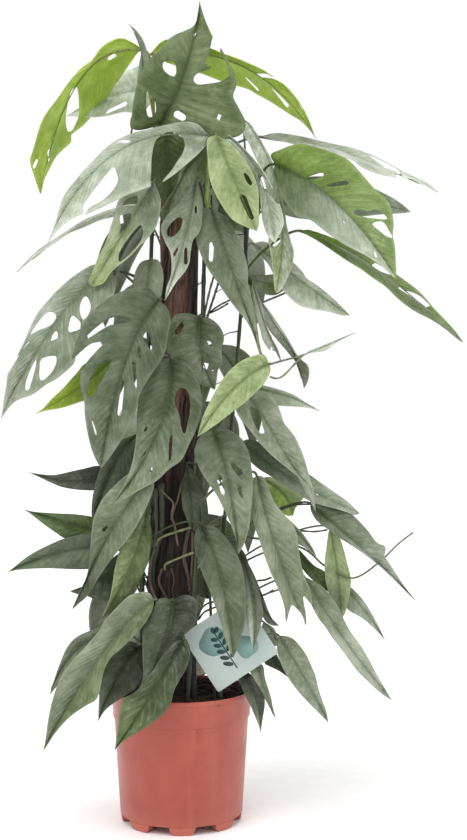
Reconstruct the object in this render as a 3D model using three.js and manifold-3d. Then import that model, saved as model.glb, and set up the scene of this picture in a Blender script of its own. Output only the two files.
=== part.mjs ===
// A silver-leaved climbing aroid in a nursery pot: pot, soil, bark pole, leafy stems and a tag on a stake.
// Millimetres, +Z up. The origin is the centre of the pot's underside, and the plant's front faces -Y.
import * as THREE from "three";
import { mergeVertices } from "three/addons/utils/BufferGeometryUtils.js";
import Module from "manifold-3d";

const wasm = await Module();
wasm.setup();

// Driving dimensions of the pot
const RIM_RADIUS = 85;
const POT_HEIGHT = 156;
const BASE_RADIUS = 73;
const FOOT_RADIUS = 71;
const FOOT_HEIGHT = 8.5;
const FOOT_RING_INSIDE = 60;
const PAD_RADIUS = 20;
const WALL = 2.4;
const FLOOR = 3;
const DRAFT = 1;
const BAND_BOTTOM = 124;
const BAND_RADIUS = 80.3;
const BAND_TOP_RADIUS = 82.6;
const LIP_INSIDE = 82.2;
const BAND_STEP = 1.6;
const LIP_HEIGHT = 5;
const LIP_OVERHANG = 1.4;
const FEET = 8;
const FOOT_TURN = 3;
const NOTCH_WIDTH = 30;
const NOTCH_DEPTH = 30;
const SLOT_WIDTH = 14;
const SLOT_DEPTH = 6;
const POT_SIDES = 32;

// The filling, with a small gap round everything that stands in it
const GAP = 0.4;
const SOIL_EDGE = 145;
const SOIL_TOP = 151;
const SOIL_RINGS = [70, 54, 38];
const SOIL_LUMPS = 4;
const STEM_FOOT = 120;
const STEM_PLAY = 2;
const POLE_PLAY = 2.5;
const STAKE_PLAY = 2;
const HOLE_SIDES = 8;

// The bark pole: five strands twisted together
const POLE_RADIUS = 27;
const POLE_HEAD_RADIUS = 23;
const POLE_FOOT = 62;
const POLE_TOP = 792;
const POLE_SIDES = 20;
const POLE_RINGS = 20;
const STRANDS = 5;
const STRAND_RELIEF = 0.2;
const POLE_TWIST = 1.3;
const POLE_SWELL = 0.05;
const SWELL_LENGTH = 38;
const POLE_LEAN = 12;
const POLE_LEAN_FROM = 300;

// Leaves and their stalks
const BLADE = 0.8;
const STALK = 1.2;
const THICK_STALK = 1.6;
const BROAD_LEAF = 60;
const STALK_STEPS = 3;
const STALK_DROP = 0.4;
const STALK_REACH = 0.2;
const STALK_RISE = 0.32;
const STALK_BEND = 0.25;
const LONGEST_BEND = 14;
const LOWEST_ROOT = SOIL_TOP + 14;
const ROOT_SPREAD = 30;
const STEM_STEP = 62;
const STEM_SIDES = 6;
const SHOOT_ROOT = 342;
const SHOOT_RADIUS = 1.5;
const SHOOT_STEPS = 14;
const BROADEST = 0.34;
const TAPER = 1.05;
const POINT = 0.9;
const SLANT = 0.34;
const FOLD = 12;
const WAVE = 0.012;
const WAVES = 17;
const WINDOW = "o";
const SPLIT = "v";
const CUT_HALF = 0.026;
const LEAF_START = 0.02;
const RIB_BAND = 0.3;
const EDGE_BAND = 0.8;
const CUT_LEAF_STATIONS = [0.09, 0.87];
const WHOLE_LEAF_STATIONS = [0.12, 0.4, 0.74];

// The tag: a square card on a stake
const TAG_WIDTH = 79;
const TAG_HEIGHT = 84;
const TAG_THICK = 1;
const TAG_TURN = 33.3;
const TAG_CENTRE = [58, 209];
const TAG_DEPTH = -54;
const STAKE_WIDTH = 5;
const STAKE_THICK = 1.6;
const STAKE_FOOT = 100;
const STAKE_OFFSET = -11;
const STAKE_ABOVE = 10;
const STAKE_BITE = 0.3;

// Leaf places are measured from the front, seen from this point, and set back to each leaf's own depth.
const EYE = new THREE.Vector3(62.4, -1600, 478);
const UP = new THREE.Vector3(0, 0, 1);
const FRONT = new THREE.Vector3(0, -1, 0);

const turn = THREE.MathUtils.degToRad;
const mix = THREE.MathUtils.lerp;
const clamp = THREE.MathUtils.clamp;

function place(x, z, depth) {
  const scale = (depth - EYE.y) / -EYE.y;
  return new THREE.Vector3(mix(EYE.x, x, scale), depth, mix(EYE.z, z, scale));
}

// A number from 0 to 1 that jumps about evenly as n counts up.
function scatter(n, seed) {
  return (n * 0.6180339887 + seed * 0.7548776662) % 1;
}

// Closed geometry to a solid, and back to a named mesh
function solidOf(geometry) {
  geometry.deleteAttribute("normal");
  geometry.deleteAttribute("uv");
  const merged = mergeVertices(geometry, 1e-4);
  const mesh = new wasm.Mesh({
    numProp: 3,
    vertProperties: new Float32Array(merged.attributes.position.array),
    triVerts: new Uint32Array(merged.index.array),
  });
  return new wasm.Manifold(mesh);
}

function meshOf(name, solid, material) {
  const { numProp, vertProperties, triVerts } = solid.getMesh();
  const geometry = new THREE.BufferGeometry();
  geometry.setAttribute("position", new THREE.BufferAttribute(vertProperties, numProp));
  geometry.setIndex(new THREE.BufferAttribute(triVerts, 1));
  geometry.computeVertexNormals();
  const mesh = new THREE.Mesh(geometry, material);
  mesh.name = name;
  return mesh;
}

// A solid of revolution about Z from [radius, height] points
function turned(profile, sides) {
  const points = profile.map(([radius, height]) => new THREE.Vector2(radius, height));
  return new THREE.LatheGeometry(points, sides).rotateX(Math.PI / 2);
}

function box(width, depth, height, x, y, z) {
  return new THREE.BoxGeometry(width, depth, height).translate(x, y, z);
}

function tube(curve, radius, sides, steps) {
  const section = new THREE.Shape();
  for (let side = 0; side < sides; side += 1) {
    const angle = (side / sides) * 2 * Math.PI;
    const corner = [radius * Math.cos(angle), radius * Math.sin(angle)];
    if (side === 0) section.moveTo(...corner);
    else section.lineTo(...corner);
  }
  section.closePath();
  return new THREE.ExtrudeGeometry(section, { steps, bevelEnabled: false, extrudePath: curve });
}

// Materials
function finish(color, roughness) {
  return new THREE.MeshStandardMaterial({ color, roughness, metalness: 0, side: THREE.DoubleSide });
}

const terracotta = finish(0xc46858, 0.5);
const bark = finish(0x3a2620, 0.9);
const bareSoil = finish(0x2b1d17, 1);
const silverLeaf = finish(0x71826a, 0.55);
const freshLeaf = finish(0x7f9c52, 0.5);
const card = finish(0xa9b8b4, 0.6);

// Pot: a thin wall with a stepped band and lip, on a ring of eight feet with drain slots between them
function wallRadius(height) {
  const below = (height - FOOT_HEIGHT) / (BAND_BOTTOM - FOOT_HEIGHT);
  const above = (height - BAND_BOTTOM) / (POT_HEIGHT - BAND_BOTTOM);
  return above > 0 ? mix(BAND_RADIUS, BAND_TOP_RADIUS, above) : mix(BASE_RADIUS, BAND_RADIUS, below);
}

function potSolid() {
  const floorTop = FOOT_HEIGHT + FLOOR;
  const lipBottom = POT_HEIGHT - LIP_HEIGHT;
  const profile = [
    [0, 0],
    [PAD_RADIUS, 0],
    [PAD_RADIUS + DRAFT, FOOT_HEIGHT],
    [FOOT_RING_INSIDE - DRAFT, FOOT_HEIGHT],
    [FOOT_RING_INSIDE, 0],
    [FOOT_RADIUS, 0],
    [BASE_RADIUS, FOOT_HEIGHT],
    [BAND_RADIUS, BAND_BOTTOM],
    [BAND_RADIUS + BAND_STEP, BAND_BOTTOM + DRAFT],
    [RIM_RADIUS - LIP_OVERHANG, lipBottom],
    [RIM_RADIUS, lipBottom + DRAFT],
    [RIM_RADIUS, POT_HEIGHT],
    [LIP_INSIDE, POT_HEIGHT],
    [BAND_RADIUS - WALL, BAND_BOTTOM],
    [wallRadius(floorTop) - WALL, floorTop],
    [0, floorTop],
  ];
  let pot = solidOf(turned(profile, POT_SIDES));
  for (let foot = 0; foot < FEET; foot += 1) {
    const angle = turn(FOOT_TURN + (foot + 0.5) * (360 / FEET));
    const notch = box(NOTCH_WIDTH, NOTCH_DEPTH, 2 * FOOT_HEIGHT, 0, -FOOT_RADIUS, 0).rotateZ(angle);
    const slotY = SLOT_DEPTH - FOOT_RADIUS;
    const slot = box(SLOT_WIDTH, SLOT_DEPTH, 4 * FLOOR, 0, slotY, floorTop).rotateZ(angle);
    pot = pot.subtract(solidOf(notch)).subtract(solidOf(slot));
  }
  return pot;
}

// Pole: strands raised round a core, twisting as they rise, on a plain foot that stands in the soil
function poleX(height) {
  return -POLE_LEAN * (1 - clamp((height - POLE_LEAN_FROM) / (POLE_TOP - POLE_LEAN_FROM), 0, 1));
}

function poleRadius(height, angle) {
  const rise = (height - POLE_FOOT) / (POLE_TOP - POLE_FOOT);
  const strand = Math.abs(Math.cos((STRANDS / 2) * (angle - POLE_TWIST * rise * Math.PI)));
  const plain = mix(POLE_RADIUS, POLE_HEAD_RADIUS, rise);
  if (height <= SOIL_TOP) return plain * (1 - STRAND_RELIEF);
  const swell = 1 + POLE_SWELL * Math.sin(height / SWELL_LENGTH);
  return plain * swell * (1 - STRAND_RELIEF * (1 - strand));
}

function poleSolid() {
  const height = POLE_TOP - POLE_FOOT;
  const geometry = new THREE.CylinderGeometry(1, 1, height, POLE_SIDES, POLE_RINGS);
  geometry.rotateX(Math.PI / 2).translate(0, 0, POLE_FOOT + height / 2);
  const position = geometry.attributes.position;
  for (let i = 0; i < position.count; i += 1) {
    const z = position.getZ(i);
    const angle = Math.atan2(position.getY(i), position.getX(i));
    const reach = Math.hypot(position.getX(i), position.getY(i)) * poleRadius(z, angle);
    position.setXY(i, poleX(z) + reach * Math.cos(angle), reach * Math.sin(angle));
  }
  return solidOf(geometry);
}

// Stems: each climbs beside the pole, at an angle round it (0 is +X, 270 the front) and a reach from its axis
const STEMS = {
  left: { angle: 216, sweep: -34, root: 42, head: 32, bend: 0.7, top: 846, radius: 3.2 },
  right: { angle: 312, sweep: 30, root: 42, head: 32, bend: 0.7, top: 824, radius: 3.2 },
  outer: { angle: 350, sweep: 4, root: 52, head: 84, bend: 1, top: 752, radius: 2.8 },
  low_left: { angle: 232, sweep: -12, root: 54, head: 44, bend: 1, top: 468, radius: 2.6 },
  low_right: { angle: 292, sweep: 24, root: 56, head: 50, bend: 1, top: 452, radius: 2.6 },
  skirt_left: { angle: 254, sweep: -14, root: 58, head: 52, bend: 1, top: 262, radius: 2.2 },
  skirt_right: { angle: 322, sweep: -6, root: 66, head: 62, bend: 1, top: 330, radius: 2.2 },
  back_left: { angle: 124, sweep: 8, root: 42, head: 32, bend: 0.7, top: 800, radius: 3.2 },
  back_right: { angle: 56, sweep: -4, root: 42, head: 32, bend: 0.7, top: 772, radius: 3.2 },
  back: { angle: 90, sweep: 0, root: 46, head: 34, bend: 0.7, top: 640, radius: 2.8 },
};

// The young shoot's way from the outer stem, as seen [x, z] and depth
const SHOOT = [
  [138, 327, -26],
  [172, 303, -34],
  [205, 288, -38],
  [236, 306, -40],
  [260, 329, -42],
  [278, 343, -42],
];

function stemPoint(stem, height) {
  const rise = clamp((height - SOIL_TOP) / (stem.top - SOIL_TOP), 0, 1);
  const angle = turn(stem.angle + stem.sweep * rise);
  const reach = mix(stem.root, stem.head, rise ** stem.bend);
  return new THREE.Vector3(poleX(height) + reach * Math.cos(angle), reach * Math.sin(angle), height);
}

class StemCurve extends THREE.Curve {
  constructor(stem) {
    super();
    this.stem = stem;
  }

  getPoint(t, target = new THREE.Vector3()) {
    return target.copy(stemPoint(this.stem, mix(STEM_FOOT, this.stem.top, t)));
  }
}

function stemSolid(stem) {
  const steps = Math.ceil((stem.top - STEM_FOOT) / STEM_STEP);
  return solidOf(tube(new StemCurve(stem), stem.radius, STEM_SIDES, steps));
}

// A leafless young shoot leaves the outer stem, sags and turns up at its growing tip.
function shootSolid() {
  const points = SHOOT.map(([x, z, depth]) => place(x, z, depth));
  const curve = new THREE.CatmullRomCurve3([stemPoint(STEMS.outer, SHOOT_ROOT), ...points]);
  return solidOf(tube(curve, SHOOT_RADIUS, STEM_SIDES - 1, SHOOT_STEPS));
}

// Leaf blades: each hangs on a midrib through its base, middle and tip.
function midrib(leaf, u) {
  const { base, middle, tip } = leaf;
  const handle = middle.clone().multiplyScalar(2).addScaledVector(base, -0.5).addScaledVector(tip, -0.5);
  const point = base.clone().multiplyScalar((1 - u) ** 2);
  return point.addScaledVector(handle, 2 * u * (1 - u)).addScaledVector(tip, u * u);
}

function ribDirection(leaf, u) {
  const step = 0.01;
  return midrib(leaf, u + step).sub(midrib(leaf, u - step)).normalize();
}

// The way that the upper face looks: the front, rolled about the leaf's chord
function facing(leaf, along) {
  const chord = leaf.tip.clone().sub(leaf.base).normalize();
  const aside = new THREE.Vector3(chord.z, 0, -chord.x).normalize();
  const roll = turn(leaf.roll);
  const normal = FRONT.clone().multiplyScalar(Math.cos(roll)).addScaledVector(aside, Math.sin(roll));
  return normal.addScaledVector(along, -normal.dot(along)).normalize();
}

function halfWidth(leaf, u) {
  const rise = BROADEST * TAPER;
  return (leaf.width / 2) * (u / BROADEST) ** rise * ((1 - u) / (1 - BROADEST)) ** POINT;
}

function bladePoint(leaf, u, across) {
  const along = ribDirection(leaf, u);
  const normal = facing(leaf, along);
  const side = along.clone().cross(normal);
  const reach = halfWidth(leaf, u) * across;
  const out = Math.abs(reach);
  const wave = leaf.width * WAVE * Math.abs(across) * Math.sin(u * WAVES + across);
  return midrib(leaf, u)
    .addScaledVector(side, reach * Math.cos(turn(FOLD)))
    .addScaledVector(along, SLANT * out)
    .addScaledVector(normal, Math.sin(turn(FOLD)) * out + wave);
}

// Cuts are words: the place in hundredths of the midrib, then what is cut left and right of the rib, looking
// from above the upper face towards the tip. An o is a window, a v a split out to the edge and a - nothing.
function readCuts(words) {
  const cuts = words.split(" ").filter((word) => word);
  return cuts.map((word) => ({ u: Number(word.slice(0, 2)) / 100, kinds: word.slice(2) }));
}

// Stations along the midrib: two beside every cut, and enough between them to follow the curve
function stations(leaf) {
  const fixed = leaf.cuts.length ? CUT_LEAF_STATIONS : WHOLE_LEAF_STATIONS;
  const beside = leaf.cuts.flatMap(({ u }) => [u - CUT_HALF, u + CUT_HALF]);
  return [...fixed, ...beside].sort((a, b) => a - b);
}

// Where the blade's mesh is divided from rib to edge, on the left (0) or the right (1)
function bands(leaf, column) {
  const kinds = leaf.cuts.map((cut) => cut.kinds[column]);
  if (kinds.includes(WINDOW)) return [RIB_BAND, EDGE_BAND, 1];
  return kinds.includes(SPLIT) ? [RIB_BAND, 1] : [1];
}

function isCut(leaf, u, across) {
  const column = across < 0 ? 0 : 1;
  const distance = Math.abs(across);
  return leaf.cuts.some((cut) => {
    const beside = Math.abs(u - cut.u) < CUT_HALF && distance > RIB_BAND;
    const split = cut.kinds[column] === SPLIT;
    const window = cut.kinds[column] === WINDOW && distance < EDGE_BAND;
    return beside && (split || window);
  });
}

// A stalk rises from its stem, arches over and meets the blade's base along the midrib.
function stalkCurve(leaf) {
  const stem = STEMS[leaf.stem];
  const away = Math.hypot(leaf.base.x - poleX(leaf.base.z), leaf.base.y) - stem.head;
  const drop = STALK_DROP * Math.abs(away) + ROOT_SPREAD * scatter(leaf.width, 1);
  const highest = stem.top - 3 - ROOT_SPREAD * scatter(leaf.width, 4);
  const start = stemPoint(stem, clamp(leaf.base.z - drop, LOWEST_ROOT, highest));
  const length = start.distanceTo(leaf.base);
  const outward = leaf.base.clone().sub(start).setZ(0).multiplyScalar(STALK_REACH);
  const rise = start.clone().add(outward).addScaledVector(UP, STALK_RISE * length);
  const back = Math.min(STALK_BEND * length, LONGEST_BEND);
  const bend = leaf.base.clone().addScaledVector(ribDirection(leaf, LEAF_START), -back);
  return new THREE.CubicBezierCurve3(start, rise, bend, leaf.base);
}

// The middle surface of stalk and blade as one grid of rows. A stalk row has two points, a blade row one for
// each band edge, and the last row is the tip.
function leafRows(leaf, across) {
  const stalk = leaf.width > BROAD_LEAF ? THICK_STALK : STALK;
  const curve = stalkCurve(leaf);
  const along = ribDirection(leaf, LEAF_START);
  const side = along.clone().cross(facing(leaf, along));
  const rows = [];
  for (let step = STALK_STEPS; step >= 0; step -= 1) {
    const direction = curve.getTangent(step / STALK_STEPS);
    const point = curve.getPoint(step / STALK_STEPS);
    side.addScaledVector(direction, -side.dot(direction)).normalize();
    const ends = [-stalk, stalk].map((reach) => point.clone().addScaledVector(side, reach));
    rows.unshift({ ends, half: stalk });
  }
  for (const u of stations(leaf)) {
    const ends = across.map((value) => bladePoint(leaf, u, value));
    rows.push({ ends, half: BLADE / 2, u });
  }
  rows.push({ ends: [leaf.tip], half: BLADE / 2, u: 1 });
  return rows;
}

// Which of a row's points a column of the grid meets
function columnEnd(row, column, rib) {
  if (row.ends.length === 1) return 0;
  if (row.ends.length === 2) return column < rib ? 0 : 1;
  return column;
}

// A leaf's solid: its middle surface, half a thickness up and down, and closed round every edge
function leafSolid(leaf) {
  const left = bands(leaf, 0).map((value) => -value);
  const rib = left.length;
  const across = [...left.reverse(), 0, ...bands(leaf, 1)];
  const rows = leafRows(leaf, across);
  const points = rows.flatMap((row) => row.ends);
  const halves = rows.flatMap((row) => row.ends.map(() => row.half));
  const firsts = rows.map((_, i) => rows.slice(0, i).flatMap((before) => before.ends).length);
  const id = (row, column) => firsts[row] + columnEnd(rows[row], column, rib);
  const faces = [];
  for (let row = 0; row + 1 < rows.length; row += 1) {
    for (let column = 0; column + 1 < across.length; column += 1) {
      const [u, next] = [rows[row].u, rows[row + 1].u];
      if (u && isCut(leaf, (u + next) / 2, (across[column] + across[column + 1]) / 2)) continue;
      const [a, b] = [id(row, column), id(row, column + 1)];
      const [d, c] = [id(row + 1, column), id(row + 1, column + 1)];
      const pair = column < rib ? [[a, b, c], [a, c, d]] : [[a, b, d], [b, c, d]];
      faces.push(...pair.filter((face) => new Set(face).size === 3));
    }
  }
  const surface = new THREE.BufferGeometry().setFromPoints(points);
  surface.setIndex(faces.flat());
  surface.computeVertexNormals();
  const normal = (i) => new THREE.Vector3().fromBufferAttribute(surface.attributes.normal, i);
  const offset = (point, i, way) => point.clone().addScaledVector(normal(i), way * halves[i]);
  const skin = [1, -1].flatMap((way) => points.map((point, i) => offset(point, i, way)));
  const closed = new THREE.BufferGeometry().setFromPoints(skin);
  const under = points.length;
  const edges = new Map();
  for (const face of faces) {
    face.forEach((start, i) => {
      const end = face[(i + 1) % 3];
      if (!edges.delete(`${end},${start}`)) edges.set(`${start},${end}`, [start, end]);
    });
  }
  const index = faces.flatMap(([a, b, c]) => [a, b, c, c + under, b + under, a + under]);
  for (const [start, end] of edges.values()) {
    index.push(end, start, start + under, end, start + under, end + under);
  }
  closed.setIndex(index);
  return solidOf(closed);
}

// The leaves that show from the front, from the crown down: stem, base, middle and tip as seen [x, z], the
// depths of these three, full width, roll and cuts
const SEEN_LEAVES = [
  ["left", [-45, 922], [-122, 888], [-170, 750], [-6, -14, -6], 95, 120, "28-o 46-v 66oo 80o-"],
  ["left", [-25, 832], [5, 900], [22, 980], [-26, -34, -20], 104, 0, "20oo 40ov 62-v"],
  ["left", [-38, 917], [75, 903], [162, 816], [12, 4, -14], 80, -125, "46oo 60oo 76o-"],
  ["right", [33, 818], [-78, 800], [-161, 690], [-50, -62, -50], 108, 30, "26v- 50vo 74oo"],
  ["left", [-60, 825], [-46, 900], [-63, 953], [-26, -32, -30], 26, 20, ""],
  ["left", [-20, 880], [-80, 868], [-138, 843], [40, 48, 50], 46, 20, ""],
  ["left", [-45, 734], [-115, 716], [-198, 656], [-8, -8, 0], 60, 70, ""],
  ["left", [-33, 765], [-63, 715], [-108, 638], [-50, -60, -60], 64, 10, "30-o 46-o 62o-"],
  ["right", [33, 815], [2, 772], [-22, 718], [-34, -38, -34], 56, 0, ""],
  ["right", [42, 820], [62, 770], [90, 705], [-58, -70, -66], 65, 0, "36o- 58o-"],
  ["right", [50, 822], [92, 775], [112, 690], [-46, -58, -58], 40, -20, ""],
  ["outer", [78, 836], [118, 745], [114, 630], [-24, -32, -32], 46, -25, ""],
  ["outer", [112, 785], [185, 740], [258, 648], [-54, -70, -62], 106, -10, "30oo 48o- 64oo 78o-"],
  ["outer", [143, 705], [235, 660], [338, 572], [-12, -16, -8], 78, -62, "46oo 66oo"],
  ["right", [95, 818], [200, 797], [308, 752], [4, 6, 10], 66, -62, "50-v 68oo"],
  ["outer", [110, 735], [190, 742], [275, 728], [26, 30, 30], 60, -20, ""],
  ["outer", [85, 690], [145, 645], [202, 604], [8, 4, 6], 58, -20, "50-o"],
  ["outer", [125, 635], [104, 642], [78, 648], [-8, -10, -8], 24, 0, ""],
  ["right", [18, 768], [5, 700], [-20, 622], [-50, -62, -58], 55, 0, "26o- 44-o 60oo"],
  ["right", [36, 730], [60, 660], [92, 565], [-40, -50, -44], 62, -10, "40-o"],
  ["left", [-88, 658], [-150, 598], [-217, 481], [-34, -50, -46], 100, 22, "22o- 37oo 53ov 70oo"],
  ["left", [-27, 622], [-68, 545], [-97, 420], [-74, -92, -86], 112, 5, "20-o 35ov 50ov 68oo"],
  ["left", [-37, 671], [-42, 635], [-45, 590], [-40, -46, -44], 40, 10, ""],
  ["left", [-82, 552], [-125, 516], [-175, 486], [-6, -14, -8], 38, 40, ""],
  ["right", [22, 602], [24, 556], [40, 514], [-46, -54, -48], 66, 0, "30oo 46v- 62o-"],
  ["left", [-14, 552], [-26, 470], [-83, 376], [-70, -84, -78], 82, 0, "34-o 48oo 64oo"],
  ["outer", [105, 545], [62, 515], [19, 458], [-90, -102, -96], 56, 0, ""],
  ["outer", [146, 556], [175, 568], [209, 583], [-30, -30, -30], 14, 0, ""],
  ["outer", [85, 645], [98, 600], [120, 547], [-22, -26, -26], 34, -10, ""],
  ["outer", [95, 620], [128, 572], [147, 516], [-12, -16, -14], 32, -30, ""],
  ["outer", [85, 515], [128, 506], [165, 489], [-26, -36, -32], 36, -20, ""],
  ["low_right", [80, 508], [116, 452], [161, 368], [-62, -80, -74], 56, -5, "24-o 38-o"],
  ["low_left", [-52, 462], [-82, 420], [-107, 350], [-42, -48, -42], 56, 15, ""],
  ["low_left", [-88, 410], [-135, 405], [-183, 415], [-20, -26, -22], 32, 20, ""],
  ["low_left", [-80, 338], [-130, 352], [-188, 370], [-22, -28, -24], 46, 20, ""],
  ["low_left", [-85, 325], [-140, 320], [-208, 296], [-40, -46, -42], 46, 15, ""],
  ["low_left", [-38, 412], [-86, 342], [-131, 251], [-62, -74, -68], 56, 5, "36-o 48-o"],
  ["low_left", [-42, 372], [-60, 305], [-95, 241], [-52, -60, -58], 38, -25, ""],
  ["low_left", [-70, 296], [-100, 285], [-134, 272], [-34, -38, -34], 50, 0, ""],
  ["skirt_left", [-33, 262], [-94, 200], [-166, 81], [-78, -92, -84], 58, 12, ""],
  ["skirt_left", [-76, 224], [-125, 202], [-158, 149], [-50, -60, -56], 50, 25, ""],
  ["skirt_left", [-50, 206], [-76, 172], [-100, 117], [-54, -68, -64], 58, 10, ""],
  ["skirt_left", [-10, 260], [-22, 205], [-52, 142], [-64, -80, -80], 66, 0, ""],
  ["skirt_left", [2, 214], [-30, 158], [-80, 82], [-96, -108, -102], 64, -10, ""],
  ["low_right", [38, 466], [57, 400], [68, 317], [-76, -90, -84], 60, 5, "34oo 50oo"],
  ["low_right", [70, 452], [140, 403], [214, 366], [-44, -54, -48], 36, -25, ""],
  ["outer", [155, 378], [215, 325], [280, 262], [-40, -54, -46], 44, -12, "52o-"],
  ["outer", [96, 408], [122, 390], [134, 363], [-12, -16, -14], 44, 10, ""],
  ["outer", [178, 348], [188, 295], [193, 240], [-26, -34, -30], 34, -20, ""],
  ["outer", [190, 282], [216, 254], [244, 214], [-14, -22, -16], 30, -15, ""],
  ["low_right", [90, 412], [112, 330], [149, 232], [-68, -78, -74], 64, -5, "50-o 66-v"],
  ["low_right", [100, 374], [132, 350], [162, 314], [-58, -66, -62], 30, -10, ""],
  ["outer", [138, 322], [156, 298], [178, 270], [-38, -42, -38], 24, -10, ""],
  ["skirt_right", [148, 290], [194, 217], [252, 142], [-52, -64, -58], 42, -20, "42-v"],
  ["low_right", [6, 425], [11, 385], [14, 345], [-34, -38, -36], 28, 0, ""],
  ["low_left", [25, 352], [48, 285], [62, 193], [-66, -80, -76], 58, 0, ""],
  ["low_right", [68, 328], [84, 265], [86, 200], [-60, -72, -72], 30, 0, ""],
  ["skirt_right", [72, 312], [92, 262], [117, 231], [-28, -34, -32], 32, -10, ""],
  ["low_right", [27, 302], [28, 284], [31, 263], [-26, -28, -26], 24, 0, ""],
  ["skirt_right", [117, 219], [148, 168], [176, 115], [-40, -46, -40], 42, -15, ""],
  ["skirt_right", [75, 176], [90, 140], [95, 103], [-44, -58, -60], 24, -10, ""],
  ["skirt_right", [90, 188], [101, 152], [113, 120], [-40, -50, -48], 20, -20, ""],
  ["skirt_right", [98, 236], [107, 226], [116, 208], [-22, -24, -22], 22, 0, ""],
  ["skirt_right", [108, 200], [118, 184], [128, 169], [-34, -36, -34], 24, 0, ""],
];

function seenLeaf([stem, base, middle, tip, depths, width, roll, cuts]) {
  return {
    stem,
    base: place(...base, depths[0]),
    middle: place(...middle, depths[1]),
    tip: place(...tip, depths[2]),
    width,
    roll,
    cuts: readCuts(cuts),
  };
}

// The leaves round the back, in two staggered columns on each of its stems
const BACK_LEAVES = [
  { stem: "back_left", low: 215, high: 795, count: 9, spread: 7 },
  { stem: "back", low: 190, high: 610, count: 7, spread: 8 },
  { stem: "back_right", low: 290, high: 570, count: 5, spread: 8 },
  { stem: "back_right", low: 712, high: 784, count: 2, spread: 8 },
];

function backLeaf(row, order) {
  const rise = order / (row.count - 1);
  const side = order % 2 ? 1 : -1;
  const height = mix(row.low, row.high, rise);
  const stem = STEMS[row.stem];
  const angle = stem.angle + side * row.spread + 5 * (scatter(order, stem.angle) - 0.5);
  const length = 126 + 44 * scatter(order, 2 + stem.root);
  const near = 66 + 10 * scatter(order, 5);
  const at = (reach, z) =>
    new THREE.Vector3(poleX(z) + reach * Math.cos(turn(angle)), reach * Math.sin(turn(angle)), z);
  return {
    stem: row.stem,
    base: at(near, height),
    middle: at(near + 0.34 * length, height - 0.3 * length),
    tip: at(near + 0.5 * length, height - 0.84 * length),
    width: 0.4 * length,
    roll: THREE.MathUtils.radToDeg(Math.atan2(-Math.cos(turn(angle)), -Math.sin(turn(angle)))),
    cuts: readCuts(order % 4 === 2 ? "36oo 56oo" : ""),
  };
}

const leaves = SEEN_LEAVES.map(seenLeaf);
for (const row of BACK_LEAVES) {
  for (let order = 0; order < row.count; order += 1) leaves.push(backLeaf(row, order));
}

function leafyStem(name) {
  const grown = leaves.filter((leaf) => leaf.stem === name);
  const shoots = name === "outer" ? [shootSolid()] : [];
  return wasm.Manifold.union([stemSolid(STEMS[name]), ...grown.map(leafSolid), ...shoots]);
}

// Tag: a square card, turned on its corner, on a stake behind it
function tagSolid() {
  const centre = place(...TAG_CENTRE, TAG_DEPTH);
  const face = new THREE.BoxGeometry(TAG_HEIGHT, TAG_THICK, TAG_WIDTH).rotateY(turn(-TAG_TURN));
  face.translate(centre.x, centre.y, centre.z);
  const behind = centre.y + (TAG_THICK + STAKE_THICK) / 2 - STAKE_BITE;
  const length = centre.z + STAKE_ABOVE - STAKE_FOOT;
  const x = centre.x + STAKE_OFFSET;
  const stake = box(STAKE_WIDTH, STAKE_THICK, length, x, behind, STAKE_FOOT + length / 2);
  return { solid: solidOf(face).add(solidOf(stake)), x, y: behind };
}

// Soil: fills the pot to just under the rim, lumpy on top, with a plain hole for each thing that stands in it
function soilBody() {
  const floor = FOOT_HEIGHT + FLOOR + GAP;
  const inside = (height) => wallRadius(height) - WALL - GAP;
  const edge = inside(SOIL_EDGE);
  const profile = [[0, floor], [inside(floor), floor], [inside(BAND_BOTTOM), BAND_BOTTOM]];
  for (const radius of [edge, ...SOIL_RINGS, 0]) {
    profile.push([radius, mix(SOIL_TOP, SOIL_EDGE, (radius / edge) ** 2)]);
  }
  const geometry = turned(profile, POT_SIDES);
  const position = geometry.attributes.position;
  for (let i = 0; i < position.count; i += 1) {
    const [x, y, z] = [position.getX(i), position.getY(i), position.getZ(i)];
    const radius = Math.round(Math.hypot(x, y));
    if (z < SOIL_EDGE - 1 || radius > edge - 1) continue;
    const sector = Math.round((Math.atan2(y, x) / (2 * Math.PI) + 1) * POT_SIDES) % POT_SIDES;
    const order = radius ? sector + 7 * radius : 0;
    position.setZ(i, z + SOIL_LUMPS * (scatter(order * order, 3) - 0.5));
  }
  return solidOf(geometry);
}

function soilSolid(tag) {
  const hole = (radius, sides, x, y, bottom) => {
    const height = 2 * SOIL_TOP - bottom;
    const drill = new THREE.CylinderGeometry(radius, radius, height, sides).rotateX(Math.PI / 2);
    return solidOf(drill.translate(x, y, bottom + height / 2));
  };
  let soil = soilBody().subtract(hole(POLE_RADIUS + POLE_PLAY, POLE_SIDES, poleX(0), 0, POLE_FOOT - GAP));
  for (const stem of Object.values(STEMS)) {
    const foot = stemPoint(stem, STEM_FOOT);
    soil = soil.subtract(hole(stem.radius + STEM_PLAY, HOLE_SIDES, foot.x, foot.y, STEM_FOOT - GAP));
  }
  const bottom = STAKE_FOOT - GAP;
  const [width, depth] = [STAKE_WIDTH + STAKE_PLAY, STAKE_THICK + STAKE_PLAY];
  const slot = box(width, depth, SOIL_TOP, tag.x, tag.y, bottom + SOIL_TOP / 2);
  return soil.subtract(solidOf(slot));
}

const tag = tagSolid();
const plant = new THREE.Group();
plant.add(meshOf("pot", potSolid(), terracotta));
plant.add(meshOf("soil", soilSolid(tag), bareSoil));
plant.add(meshOf("pole", poleSolid(), bark));
plant.add(meshOf("tag", tag.solid, card));
for (const name of Object.keys(STEMS)) {
  const material = name === "outer" ? freshLeaf : silverLeaf;
  plant.add(meshOf(`leafy_stem_${name}`, leafyStem(name), material));
}

export default plant;
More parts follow.
